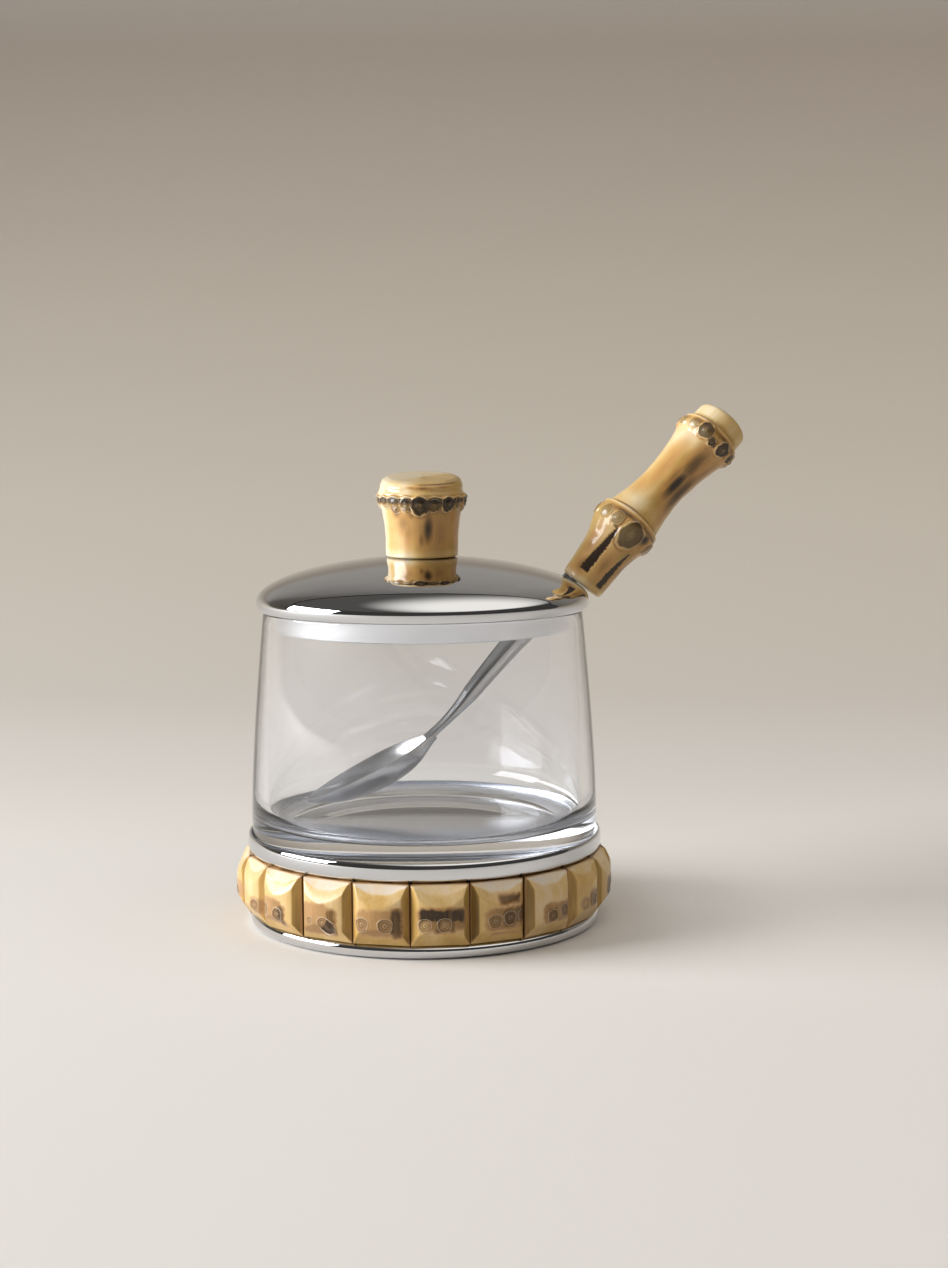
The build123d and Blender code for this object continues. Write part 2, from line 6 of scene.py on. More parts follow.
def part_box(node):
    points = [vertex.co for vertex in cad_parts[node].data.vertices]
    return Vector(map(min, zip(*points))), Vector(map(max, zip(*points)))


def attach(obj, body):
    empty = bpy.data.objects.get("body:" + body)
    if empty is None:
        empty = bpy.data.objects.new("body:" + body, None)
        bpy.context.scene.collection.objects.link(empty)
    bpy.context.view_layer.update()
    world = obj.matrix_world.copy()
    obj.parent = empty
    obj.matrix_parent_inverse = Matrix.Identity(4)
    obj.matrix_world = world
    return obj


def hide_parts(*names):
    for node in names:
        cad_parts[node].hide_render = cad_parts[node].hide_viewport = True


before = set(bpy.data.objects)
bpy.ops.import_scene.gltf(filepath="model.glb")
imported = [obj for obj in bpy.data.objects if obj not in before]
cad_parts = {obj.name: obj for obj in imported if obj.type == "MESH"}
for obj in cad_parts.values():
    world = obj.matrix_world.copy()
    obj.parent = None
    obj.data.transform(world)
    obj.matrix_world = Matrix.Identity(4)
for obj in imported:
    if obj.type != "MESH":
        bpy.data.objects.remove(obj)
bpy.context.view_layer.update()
bpy.ops.object.select_all(action="DESELECT")
scene = bpy.context.scene
scene.view_settings.view_transform = "Standard"

# Table and backdrop: one pale seamless sheet that lies flat under the jar and curves up behind it.
# It is painted paler on the table and darker towards its top, as a sheet that falls out of the light.
SWEEP_HALF_WIDTH = 4.0
SWEEP_FRONT = -3.0
SWEEP_BEND_START = 0.45
SWEEP_BEND_RADIUS = 0.8
SWEEP_TOP = 2.1
SWEEP_BEND_STEPS = 24
SWEEP_TURN = 8.0
# Paint along the sheet, from the table in front to its top: metres back plus up, and the colour there.
SWEEP_TONES = (
    (-0.2, 0.7, 0.67, 0.635),
    (0.00, 0.7, 0.67, 0.635),
    (0.1, 0.68, 0.65, 0.61),
    (0.23, 0.635, 0.595, 0.56),
    (0.6, 0.565, 0.52, 0.46),
    (0.89, 0.515, 0.47, 0.405),
    (1.22, 0.44, 0.395, 0.335),
    (1.59, 0.32, 0.275, 0.23),
    (1.8, 0.38, 0.36, 0.335),
    (2.4, 0.41, 0.395, 0.375),
    (3.22, 0.5, 0.48, 0.455),
    (3.24, 0.02, 0.02, 0.02),
    (3.6, 0.02, 0.02, 0.02),
)
# The paint is darker at the left and lighter at the right: metres from the middle, and the share there.
SWEEP_SIDE = 0.4
SWEEP_SIDE_TONE = 0.2


def fed(tree, node, inputs):
    """Give a node its inputs by name or number, each a socket to link or a plain value."""
    for slot, value in inputs.items():
        if isinstance(value, bpy.types.NodeSocket):
            tree.links.new(value, node.inputs[slot])
        else:
            node.inputs[slot].default_value = value
    return node


def added(tree, kind, inputs, **settings):
    """New node in a tree, with its settings and its inputs."""
    node = tree.nodes.new(kind)
    for name, value in settings.items():
        setattr(node, name, value)
    return fed(tree, node, inputs)


def material(name):
    """New material, with its node tree and its shader."""
    made = bpy.data.materials.new(name)
    made.use_nodes = True
    return made, made.node_tree, made.node_tree.nodes["Principled BSDF"]


def object_place(tree):
    """Where each point of a piece is, in metres."""
    return tree.nodes.new("ShaderNodeTexCoord").outputs["Object"]


def along(tree, place, direction):
    """How far a place lies along a direction."""
    return added(
        tree, "ShaderNodeVectorMath", {0: place, 1: direction}, operation="DOT_PRODUCT"
    ).outputs["Value"]


def mapped(tree, value, start, end, low=0.0, high=1.0, ease="LINEAR"):
    """Value moved from one span to another, and kept inside it."""
    return added(
        tree, "ShaderNodeMapRange",
        {"Value": value, "From Min": start, "From Max": end, "To Min": low, "To Max": high},
        interpolation_type=ease,
    ).outputs["Result"]


def ramp(tree, factor, *stops):
    """Colour ramp in a tree, from stops of position and colour or grey."""
    node = tree.nodes.new("ShaderNodeValToRGB")
    while len(node.color_ramp.elements) < len(stops):
        node.color_ramp.elements.new(0.5)
    for element, (position, colour) in zip(node.color_ramp.elements, stops):
        element.position = position
        element.color = (*colour, 1) if hasattr(colour, "__len__") else (colour, colour, colour, 1)
    tree.links.new(factor, node.inputs["Fac"])
    return node.outputs["Color"]


bpy.ops.mesh.primitive_plane_add(size=2, location=(0, 0, 0))
sweep = bpy.context.object
sweep.name = "table_sweep"
sweep.scale = (SWEEP_HALF_WIDTH, (SWEEP_BEND_START - SWEEP_FRONT) / 2, 1)
sweep.location = (0, (SWEEP_BEND_START + SWEEP_FRONT) / 2, 0)
bpy.ops.object.transform_apply(location=True, rotation=False, scale=True)
bpy.ops.object.mode_set(mode="EDIT")
bpy.ops.mesh.select_mode(type="EDGE")
bpy.ops.mesh.select_all(action="DESELECT")
bpy.ops.object.mode_set(mode="OBJECT")
for edge in sweep.data.edges:
    ends = [sweep.data.vertices[i].co for i in edge.vertices]
    edge.select = min(end.y for end in ends) > SWEEP_BEND_START - 0.001
bpy.ops.object.mode_set(mode="EDIT")
for step in range(SWEEP_BEND_STEPS):
    before = pi / 2 * step / SWEEP_BEND_STEPS
    after = pi / 2 * (step + 1) / SWEEP_BEND_STEPS
    run = SWEEP_BEND_RADIUS * (sin(after) - sin(before))
    rise = SWEEP_BEND_RADIUS * (cos(before) - cos(after))
    bpy.ops.mesh.extrude_region_move(TRANSFORM_OT_translate={"value": (0, run, rise)})
bpy.ops.mesh.extrude_region_move(
    TRANSFORM_OT_translate={"value": (0, 0, SWEEP_TOP - SWEEP_BEND_RADIUS)}
)
bpy.ops.object.mode_set(mode="OBJECT")
bpy.ops.object.shade_smooth()
bpy.ops.transform.rotate(value=radians(SWEEP_TURN), orient_axis="Z", center_override=(0, 0, 0))
bpy.ops.object.transform_apply(location=True, rotation=True, scale=True)
sweep.select_set(False)

paint, tree, shader = material("sweep_paint")
place = object_place(tree)
turn = radians(SWEEP_TURN)
first, last = SWEEP_TONES[0][0], SWEEP_TONES[-1][0]
run = mapped(tree, along(tree, place, (sin(turn), cos(turn), 1)), first, last)
tone = ramp(tree, run, *[((away - first) / (last - first), colour) for away, *colour in SWEEP_TONES])
side = along(tree, place, (cos(turn), -sin(turn), 0))
level = mapped(tree, side, -SWEEP_SIDE, SWEEP_SIDE, 1 - SWEEP_SIDE_TONE, 1 + SWEEP_SIDE_TONE)
shade = added(tree, "ShaderNodeVectorMath", {0: tone, "Scale": level}, operation="SCALE")
fed(tree, shader, {
    "Roughness": 0.9,
    "Specular IOR Level": 0.1,
    "Base Color": shade.outputs["Vector"],
})
sweep.data.materials.append(paint)

# Camera: stands a little to the left of the spoon's plane, just above the lid, and looks slightly down.
# Its place is in millimetres from the jar's axis at the table, its angles are in degrees.
MM = 0.001
CAMERA_PLACE = (-70.0, -603.1, 150.4)
CAMERA_AZIMUTH = -8.0
CAMERA_PITCH = 6.4
CAMERA_ROLL = 0.344
FRAME_HEIGHT = 1268
FOCAL_PIXELS = 2130.0
SENSOR = 36.0
CLIP_NEAR = 0.01
CLIP_FAR = 50.0

bpy.ops.object.camera_add()
camera = bpy.context.object
camera.name = "camera"
camera.data.sensor_fit = "VERTICAL"
camera.data.sensor_height = SENSOR
camera.data.sensor_width = SENSOR
camera.data.lens = FOCAL_PIXELS * SENSOR / FRAME_HEIGHT
camera.data.clip_start = CLIP_NEAR
camera.data.clip_end = CLIP_FAR
camera.rotation_mode = "QUATERNION"
camera.location = [MM * value for value in CAMERA_PLACE]
turn, lean = radians(CAMERA_AZIMUTH), radians(CAMERA_PITCH)
back = Vector((sin(turn) * cos(lean), -cos(turn) * cos(lean), sin(lean)))
camera.rotation_quaternion = (-back).to_track_quat("-Z", "Y")
camera.rotation_quaternion @= Matrix.Rotation(-radians(CAMERA_ROLL), 3, "Z").to_quaternion()
camera.select_set(False)
scene.camera = camera

# Studio light: a wide soft box low at the left, and a soft grey room that is brightest at the upper
# right and dark behind the camera, as the chrome shows it. Past the backdrop the camera sees plain grey.
KEY_PLACE = (-1.3, 0.0, 0.46)
KEY_WIDTH = 1.0
KEY_HEIGHT = 0.6
KEY_WATTS = 38.5
KEY_AIM = (0, 0, 0.06)
KEY_COLOUR = (0.965, 0.98, 1.0)
ROOM_COLOUR = (1.0, 0.96, 0.895)
# The glow fades in between these cosines of the angle from the bright side.
ROOM_BRIGHT_SIDE = (0.38, -0.36, 0.85)
ROOM_GLOW = (0.57, 0.95)
ROOM_BRIGHT = 1.2
ROOM_DIM = 0.1
ROOM_WALLS = 0.05
ROOM_WALL_TOP = 0.53
ROOM_WALL_FADE = 0.05
ROOM_SEEN = 0.42

bpy.ops.object.light_add(type="AREA", location=KEY_PLACE)
key = bpy.context.object
key.name = "key_light"
key.data.shape = "RECTANGLE"
key.data.size = KEY_WIDTH
key.data.size_y = KEY_HEIGHT
key.data.energy = KEY_WATTS
key.data.color = KEY_COLOUR
key.rotation_mode = "QUATERNION"
key.rotation_quaternion = (Vector(KEY_AIM) - key.location).to_track_quat("-Z", "Y")
key.select_set(False)

room = bpy.data.worlds.new("room")
room.use_nodes = True
scene.world = room
tree = room.node_tree
place = tree.nodes.new("ShaderNodeTexCoord").outputs["Generated"]
toward = along(tree, place, Vector(ROOM_BRIGHT_SIDE).normalized())
glow = mapped(tree, toward, *ROOM_GLOW, ROOM_DIM, ROOM_BRIGHT, "SMOOTHSTEP")
upward = added(tree, "ShaderNodeSeparateXYZ", {0: place}).outputs["Z"]
low, high = ROOM_WALL_TOP - ROOM_WALL_FADE, ROOM_WALL_TOP + ROOM_WALL_FADE
ceiling = mapped(tree, upward, low, high, ROOM_WALLS, glow, "SMOOTHSTEP")
by_camera = tree.nodes.new("ShaderNodeLightPath").outputs["Is Camera Ray"]
seen = added(tree, "ShaderNodeMix", {"Factor": by_camera, "A": ceiling, "B": ROOM_SEEN})
fed(tree, tree.nodes["Background"], {"Strength": seen.outputs["Result"], "Color": (*ROOM_COLOUR, 1)})

# Foot pad: brown felt, let into the foot plate and glued.
# Its fibres are a fine uneven fuzz, lighter and darker by patches.
FELT_FUZZ = 2200
FELT_DEPTH = 0.15
FELT_DARK = (0.03, 0.022, 0.016)
FELT_PALE = (0.09, 0.066, 0.05)


def noisy(tree, place, scale, detail, distortion=0.0):
    """Noise texture in a tree."""
    return added(tree, "ShaderNodeTexNoise", {
        "Vector": place, "Scale": scale, "Detail": detail, "Distortion": distortion,
    })


def bumped(tree, height, strength, depth):
    """Normal that follows a height, with its depth in millimetres."""
    return added(
        tree, "ShaderNodeBump", {"Height": height, "Strength": strength, "Distance": depth * MM}
    ).outputs["Normal"]


def dressed(look, *names):
    """Give pieces of the construction one material."""
    for name in names:
        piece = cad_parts[name]
        piece.data.materials.clear()
        piece.data.materials.append(look)


felt, tree, shader = material("foot_felt")
fuzz = noisy(tree, object_place(tree), FELT_FUZZ, 4).outputs["Fac"]
fed(tree, shader, {
    "Roughness": 0.95,
    "Base Color": ramp(tree, fuzz, (0.0, FELT_DARK), (1.0, FELT_PALE)),
    "Normal": bumped(tree, fuzz, 0.6, FELT_DEPTH),
})
dressed(felt, "foot_pad")

# Foot plate: brass disc, turned with a half-round rim and chromed. The chrome is hard and clear,
# with faint wiping marks that only blur its reflections a little.
TURNED_STEPS = 200
SMOOTH_ANGLE = 35
SEAM = 0.002
FOOT_LIP = 1.75
PAD_RECESS = 41.3
WIPE_MARKS = 60
WIPED_TONE = 0.94


def curve(*pulls, count=10):
    """Points of radius and height along the curve that the given points pull, both ends included."""
    line = []
    for step in range(count + 1):
        layer = [Vector(pull) for pull in pulls]
        while len(layer) > 1:
            layer = [a.lerp(b, step / count) for a, b in zip(layer, layer[1:])]
        line.append(tuple(layer[0]))
    return line


def turned(name, outline, steps=TURNED_STEPS):
    """Spin an outline of radius and height in millimetres round the jar's axis."""
    bpy.ops.mesh.primitive_plane_add(size=MM, location=(0, 0, 0))
    piece = bpy.context.object
    piece.name = piece.data.name = name
    bpy.ops.object.mode_set(mode="EDIT")
    bpy.ops.mesh.select_mode(type="VERT")
    bpy.ops.mesh.merge(type="CENTER")
    bpy.ops.transform.translate(value=(outline[0][0] * MM, 0, outline[0][1] * MM))
    for (r0, z0), (r1, z1) in zip(outline, outline[1:]):
        bpy.ops.mesh.extrude_vertices_move(
            TRANSFORM_OT_translate={"value": ((r1 - r0) * MM, 0, (z1 - z0) * MM)}
        )
    bpy.ops.mesh.select_all(action="SELECT")
    bpy.ops.mesh.spin(steps=steps, angle=2 * pi, center=(0, 0, 0), axis=(0, 0, 1))
    bpy.ops.mesh.select_all(action="SELECT")
    bpy.ops.mesh.remove_doubles(threshold=SEAM * MM)
    bpy.ops.mesh.normals_make_consistent(inside=False)
    bpy.ops.object.mode_set(mode="OBJECT")
    bpy.ops.object.shade_smooth_by_angle(angle=radians(SMOOTH_ANGLE))
    piece.select_set(False)
    return piece


def blended(tree, factor, first, second):
    """Mix of two colours in a tree, each a socket or plain values."""
    colours = {
        slot: value if isinstance(value, bpy.types.NodeSocket) else (*value, 1)
        for slot, value in ((6, first), (7, second))
    }
    return added(tree, "ShaderNodeMix", {"Factor": factor, **colours}, data_type="RGBA").outputs[2]


def group(name, place, *marks):
    """Empty shader group that takes a place and gives marks; returns it, the place and its output."""
    made = bpy.data.node_groups.new(name, "ShaderNodeTree")
    made.interface.new_socket(place, in_out="INPUT", socket_type="NodeSocketVector")
    for mark in marks:
        made.interface.new_socket(mark, in_out="OUTPUT", socket_type="NodeSocketFloat")
    given = made.nodes.new("NodeGroupInput").outputs[place]
    return made, given, made.nodes.new("NodeGroupOutput")


def metal(name, colour, roughness, wipe):
    """Bright metal that is a little rougher and darker where it was wiped."""
    made, tree, shader = material(name)
    wiped = added(
        tree, "ShaderNodeGroup", {"Place": object_place(tree)}, node_tree=wiping
    ).outputs["Wiped"]
    fed(tree, shader, {
        "Metallic": 1.0,
        "Roughness": mapped(tree, wiped, 0.35, 0.75, roughness, roughness + wipe),
        "Base Color": blended(tree, wiped, colour, [WIPED_TONE * part for part in colour]),
    })
    return made


# Wiping marks that all the metals share: soft clouds, from clean at 0 to wiped at 1.
wiping, given, put = group("wiping_marks", "Place", "Wiped")
fed(wiping, put, {"Wiped": noisy(wiping, given, WIPE_MARKS, 5, 0.6).outputs["Fac"]})

chrome = metal("polished_chrome", (0.7, 0.71, 0.73), 0.02, 0.05)
foot_low, foot_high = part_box("foot_flange")
foot_radius, foot_bottom, foot_top = (value / MM for value in (foot_high.x, foot_low.z, foot_high.z))
pad_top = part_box("foot_pad")[1].z / MM
rim = foot_radius - FOOT_LIP
middle = (foot_bottom + foot_top) / 2
foot_plate = turned("foot_plate", [
    (0, foot_top),
    *curve((rim, foot_top), (foot_radius, foot_top), (foot_radius, middle), count=12),
    *curve((foot_radius, middle), (foot_radius, foot_bottom), (rim, foot_bottom), count=12)[1:],
    (PAD_RECESS, foot_bottom),
    (PAD_RECESS, pad_top),
    (0, pad_top),
])
foot_plate.data.materials.append(chrome)
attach(foot_plate, "root")
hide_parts("foot_flange")

# Drum: twenty-sided core of dark stained beech, which carries the root blocks.
# Only dark lines of it show between them.
CORE_RINGS = 260
CORE_DARK = (0.03, 0.018, 0.01)
CORE_PALE = (0.075, 0.045, 0.024)

core_wood, tree, shader = material("core_wood")
rings = added(
    tree, "ShaderNodeTexWave", {"Vector": object_place(tree), "Scale": CORE_RINGS, "Distortion": 3},
    wave_type="RINGS", rings_direction="Z",
)
fed(tree, shader, {
    "Roughness": 0.75,
    "Base Color": ramp(tree, rings.outputs["Fac"], (0.0, CORE_DARK), (1.0, CORE_PALE)),
})
dressed(core_wood, "base_core")

# Root blocks: twenty slices of bamboo root, sawn, filed to five flat facets round a crowned face,
# glued round the drum and lacquered. Each keeps the brown band of its joint with the rings of its buds.
# A block's own measures run across it and up from its foot, in millimetres.
BLOCK_COUNT = 20
BLOCK_TURN = 15.8
BLOCK_EDGE_IN = 3.8
# The face is set in this much, so that the lips of its buds stay within the construction.
BLOCK_SET_IN = 0.14
BLOCK_CROWN = 1.3
BLOCK_SIDE_BEVEL = 1.75
BLOCK_FOOT_BEVEL = 4.9
BLOCK_BROW = 2.6
BLOCK_BROW_DEPTH = 2.1
BLOCK_TOP_BEVEL = 5.9
BLOCK_JOINT = 0.08
BLOCK_CREASE = 9.0
BLOCK_STEPS = 84
BLOCK_SMILE = 1.6
BLOCK_FACET_BLUR = 0.15
BLOCK_SMOOTH_ANGLE = 50
# Stains along the joints fade over these many millimetres from the sides, and a painted shadow under the cup
# fades over the second from the top.
BLOCK_SIDE_STAIN = 0.22
BLOCK_CUP_SHADOW_FADE = 0.2
# Buds lose their relief where the face is less deep than this, towards the edges.
BUD_CALM = 0.8
# Each block's fibre is taken from another place, this many metres on from its neighbour's.
BLOCK_GRAIN_APART = 0.05
# Painted marks: place on the root, place on the nearest bud's scar, how dark from stains and painted shade,
# and how pale from the fibre's tone and painted light.
ROOT_MARKS = ("own", "scar", "stain_and_shade", "pale_and_lit")
# Tone is that of the top facet, the crown and the left and right facets, from burnt olive at 0 to cream
# at 1; the top facet's paler tone is partly the wood's own and partly painted light from above. Eyes are
# across, up, radius and how far they stand out. Patches are across and up of the middle, half width, half
# height and how dark; a negative darkness wipes a patch clean.
BLOCK_LOOKS = {
    10: {
        "tone": (0.84, 0.62, 0.56, 0.5),
        "eyes": ((4.2, 5.2, 1.7, 0.2),),
        "patches": ((4.6, 5.2, 3.2, 2.6, 0.42),),
    },
    11: {
        "tone": (0.88, 0.62, 0.54, 0.36),
        "eyes": ((-5.1, 6.0, 1.6, 0.2), (1.0, 5.4, 1.7, 0.35)),
        "patches": ((-2.6, 6.2, 5.8, 3.8, 0.5), (2.3, 5.2, 1.7, 3.2, 0.74)),
    },
    12: {
        "tone": (0.95, 0.7, 0.54, 0.38),
        "eyes": ((-3.9, 5.6, 1.0, 0.1), (0.7, 5.4, 1.5, 0.15), (2.0, 4.3, 2.0, 0.9)),
        "patches": ((-2.3, 6.2, 6.0, 4.8, 0.48), (3.0, 5.8, 1.7, 3.9, 0.74), (0.0, 2.6, 4.2, 0.7, 0.56)),
    },
    13: {
        "tone": (0.96, 0.62, 0.56, 0.32),
        "eyes": ((-4.7, 6.0, 1.7, 0.2), (1.9, 6.0, 1.8, 0.25)),
        "patches": ((-0.2, 6.6, 6.4, 4.0, 0.46), (4.8, 6.4, 1.9, 4.4, 0.8), (1.0, 3.4, 3.4, 0.9, 0.46)),
    },
    14: {
        "tone": (0.78, 0.68, 0.54, 0.34),
        "eyes": ((-4.3, 6.3, 1.6, 0.25), (0.9, 6.4, 1.7, 0.25)),
        "patches": (
            (0.6, 7.9, 6.8, 3.4, 0.56), (-1.7, 9.0, 4.6, 2.1, 1.0), (3.2, 8.8, 3.8, 2.3, 0.86),
            (1.0, 6.6, 3.4, 2.8, 0.74), (-4.3, 6.3, 1.3, 1.3, -0.6), (0.9, 6.4, 1.4, 1.4, -0.55),
        ),
    },
    15: {
        "tone": (0.92, 0.64, 0.24, 0.5),
        "eyes": ((-1.9, 6.4, 1.7, 0.2), (2.4, 7.0, 1.7, 0.25), (6.4, 7.2, 1.2, 0.1)),
        "patches": (
            (1.4, 6.8, 6.4, 3.4, 0.56), (2.4, 7.0, 2.8, 3.2, 0.76), (5.8, 7.4, 2.6, 2.8, 0.78),
            (1.2, 8.9, 5.4, 0.8, 0.42), (2.8, 12.0, 3.6, 1.5, 0.78), (2.0, 2.6, 5.0, 0.7, 0.42),
        ),
    },
    16: {
        "tone": (0.96, 0.72, 0.32, 0.54),
        "eyes": ((-0.6, 5.6, 1.6, 0.3), (4.2, 6.3, 1.6, 0.2)),
        "patches": ((1.6, 6.4, 5.6, 3.0, 0.54), (-0.6, 6.0, 2.4, 2.6, 0.7), (4.6, 6.6, 2.8, 2.4, 0.72)),
    },
    17: {
        "tone": (0.74, 0.6, 0.4, 0.5),
        "eyes": ((2.2, 6.6, 1.6, 0.2), (-2.8, 6.2, 1.4, 0.1)),
        "patches": ((2.6, 7.0, 3.8, 2.6, 0.7),),
    },
    18: {
        "tone": (0.74, 0.6, 0.4, 0.5),
        "eyes": ((0.5, 7.4, 1.9, 0.3),),
        "patches": ((0.5, 7.3, 3.4, 3.2, 0.78),),
    },
}


def soft_step(value, low, high):
    """Rise smoothly from 0 at low to 1 at high."""
    share = min(max((value - low) / (high - low), 0), 1)
    return share * share * (3 - 2 * share)


def bell(value, middle, width, power=2):
    """Smooth hump: 1 at its middle, and nearly gone at twice its width."""
    return exp(-(((value - middle) / width) ** power))


def nearest_eye(across, up, eyes):
    """Place in the nearest eye's own radii, and how far that eye stands out."""
    best = (9.0, 9.0, 0.0)
    for eye_across, eye_up, radius, stand in eyes:
        place = ((across - eye_across) / radius, (up - eye_up) / radius, stand)
        if hypot(place[0], place[1]) < hypot(best[0], best[1]):
            best = place
    return best


def eye_relief(place):
    """Height in millimetres of a bud scar: a lip round a dimple with a nub in it."""
    away, stand = hypot(place[0], place[1]), place[2]
    lip = bell(away, 1.08, 0.16) * (0.06 + 0.24 * stand)
    dimple = bell(away, 0, 0.8, 4) * (0.05 + 0.26 * stand)
    nub = bell(away, 0, 0.45) * (0.06 + 0.34 * stand)
    return lip - dimple + nub


def in_patch(across, up, patch):
    """How much of a patch's stain a place has: round in the corners, with an edge that wanders."""
    middle, height, half_wide, half_tall, dark = patch
    round_off = 0.7 * min(half_wide, half_tall)
    wander = 0.45 * noise.noise(Vector((across * 0.8, up * 0.8, middle + 9 * dark)))
    wide = abs(across - middle) - half_wide + round_off
    tall = abs(up - height) - half_tall + round_off
    outside = hypot(max(wide, 0), max(tall, 0)) + min(max(wide, tall), 0) - round_off + wander
    return dark * (1 - soft_step(outside, -1.1, 0.6))


def painted(piece, *marks):
    """Give a root piece its own coordinates and the marks that its material reads."""
    for name, values in zip(ROOT_MARKS[:2], marks):
        layer = piece.data.attributes.new(name, "FLOAT_VECTOR", "POINT")
        layer.data.foreach_set("vector", [part for value in values for part in value])
    for name, values in zip(ROOT_MARKS[2:], marks[2:]):
        layer = piece.data.attributes.new(name, "FLOAT", "POINT")
        layer.data.foreach_set("value", values)


def worked(tree, operation, *values, clamp=False):
    """Math node in a tree on sockets or plain numbers."""
    inputs = dict(enumerate(values))
    return added(tree, "ShaderNodeMath", inputs, operation=operation, use_clamp=clamp).outputs[0]


def swing(tree, mark, span):
    """Mark that runs from 0 to 1, made to swing about 0 over a span."""
    return worked(tree, "MULTIPLY", worked(tree, "SUBTRACT", mark, 0.5), span)


def grain(tree, place, stretch, scale, detail=3.0, distortion=0.0):
    """Noise in a tree, drawn out along the root's length."""
    drawn = added(tree, "ShaderNodeMapping", {"Vector": place, "Scale": (1, 1, stretch)})
    return noisy(tree, drawn.outputs["Vector"], scale, detail, distortion).outputs["Fac"]


# Fibre of the root: long fine streaks, broad cloudy tones and a few pores.
fibre, given, put = group("root_fibre", "Place", "Streak", "Cloud", "Pore")
pores = added(fibre, "ShaderNodeTexVoronoi", {"Vector": given, "Scale": 620})
fed(fibre, put, {
    "Streak": grain(fibre, given, 0.06, 1900),
    "Cloud": grain(fibre, given, 0.45, 130, 2, 0.4),
    "Pore": ramp(fibre, pores.outputs["Distance"], (0.05, 1.0), (0.16, 0.0)),
})

# Rings of a bud scar by the distance from its middle, in its own radii: dark lines, pale lines between.
eye_rings, given, put = group("bud_rings", "Scar", "Dark", "Pale")
off_round = added(eye_rings, "ShaderNodeVectorMath", {
    0: noisy(eye_rings, given, 1.4, 2).outputs["Color"],
    1: (0.55, 0.55, 0.0),
    2: (-0.275, -0.275, 0.0),
}, operation="MULTIPLY_ADD")
uneven = added(eye_rings, "ShaderNodeVectorMath", {0: given, 1: off_round.outputs["Vector"]})
parts = added(eye_rings, "ShaderNodeSeparateXYZ", {0: uneven.outputs["Vector"]})
wide = worked(eye_rings, "MULTIPLY", parts.outputs["X"], parts.outputs["X"])
tall = worked(eye_rings, "MULTIPLY", parts.outputs["Y"], parts.outputs["Y"])
away = worked(eye_rings, "SQRT", worked(eye_rings, "ADD", wide, tall))
share = worked(eye_rings, "DIVIDE", away, 1.6, clamp=True)
flush_dark = ramp(
    eye_rings, share,
    (0.0, 0.8), (0.07, 0.6), (0.13, 0.1), (0.25, 0.12), (0.33, 0.55), (0.42, 0.1), (0.54, 0.12),
    (0.62, 0.62), (0.7, 0.2), (0.82, 0.0),
)
raised_dark = ramp(
    eye_rings, share,
    (0.0, 0.9), (0.08, 0.62), (0.16, 1.0), (0.3, 0.9), (0.4, 0.97), (0.58, 1.0), (0.66, 0.5),
    (0.72, 0.0), (0.84, 0.0),
)
fed(eye_rings, put, {
    "Dark": blended(eye_rings, parts.outputs["Z"], flush_dark, raised_dark),
    "Pale": ramp(
        eye_rings, share,
        (0.09, 0.0), (0.18, 0.35), (0.27, 0.0), (0.66, 0.0), (0.72, 0.7), (0.79, 0.0),
    ),
})


def bamboo(name, tones, tan, brown, burnt, shine):
    """Lacquered bamboo root: olive to cream fibre with painted light, tan, brown and burnt marks with
    painted shade, and the rings of its buds.
    """
    made, tree, shader = material(name)
    own, scar, stain_and_shade, light = (
        added(tree, "ShaderNodeAttribute", {}, attribute_name=mark) for mark in ROOT_MARKS
    )
    fibres = added(
        tree, "ShaderNodeGroup", {"Place": own.outputs["Vector"]}, node_tree=fibre
    ).outputs
    rings = added(
        tree, "ShaderNodeGroup", {"Scar": scar.outputs["Vector"]}, node_tree=eye_rings
    ).outputs
    streak, cloud = fibres["Streak"], fibres["Cloud"]
    pale_and_lit = worked(tree, "ADD", light.outputs["Fac"], swing(tree, cloud, 0.55))
    pale_and_lit = worked(tree, "ADD", pale_and_lit, swing(tree, streak, 0.22))
    # What roughens a stain, painted shade included, is held back where there is none, so that clean fibre
    # stays clean.
    uneven = worked(tree, "ADD", swing(tree, streak, 0.2), swing(tree, cloud, 0.45))
    marked = worked(tree, "MULTIPLY", stain_and_shade.outputs["Fac"], 2.5, clamp=True)
    stained_and_shaded = worked(tree, "ADD", stain_and_shade.outputs["Fac"], worked(tree, "MULTIPLY", uneven, marked))
    base = ramp(tree, pale_and_lit, *tones)
    for start, end, most, colour in (
        (0.08, 0.34, 0.9, tan), (0.36, 0.68, 0.92, brown), (0.66, 0.92, 0.97, burnt),
    ):
        base = blended(tree, ramp(tree, stained_and_shaded, (start, 0.0), (end, most)), base, colour)
    for mark, share, colour in (
        (rings["Pale"], 0.8, tones[-2][1]), (rings["Dark"], 0.97, burnt), (fibres["Pore"], 0.25, brown),
    ):
        base = blended(tree, worked(tree, "MULTIPLY", mark, share), base, colour)
    sunk = worked(tree, "MULTIPLY", rings["Dark"], -0.5)
    level = worked(tree, "ADD", worked(tree, "MULTIPLY", streak, 0.35), sunk)
    fed(tree, shader, {
        "Base Color": base,
        "Roughness": mapped(tree, cloud, 0.0, 1.0, 0.3, 0.5),
        "Normal": bumped(tree, level, 0.45, 0.08),
        "Specular IOR Level": 0.22,
        "Coat Weight": shine,
        "Coat Roughness": 0.1,
        "Coat IOR": 1.45,
    })
    return made


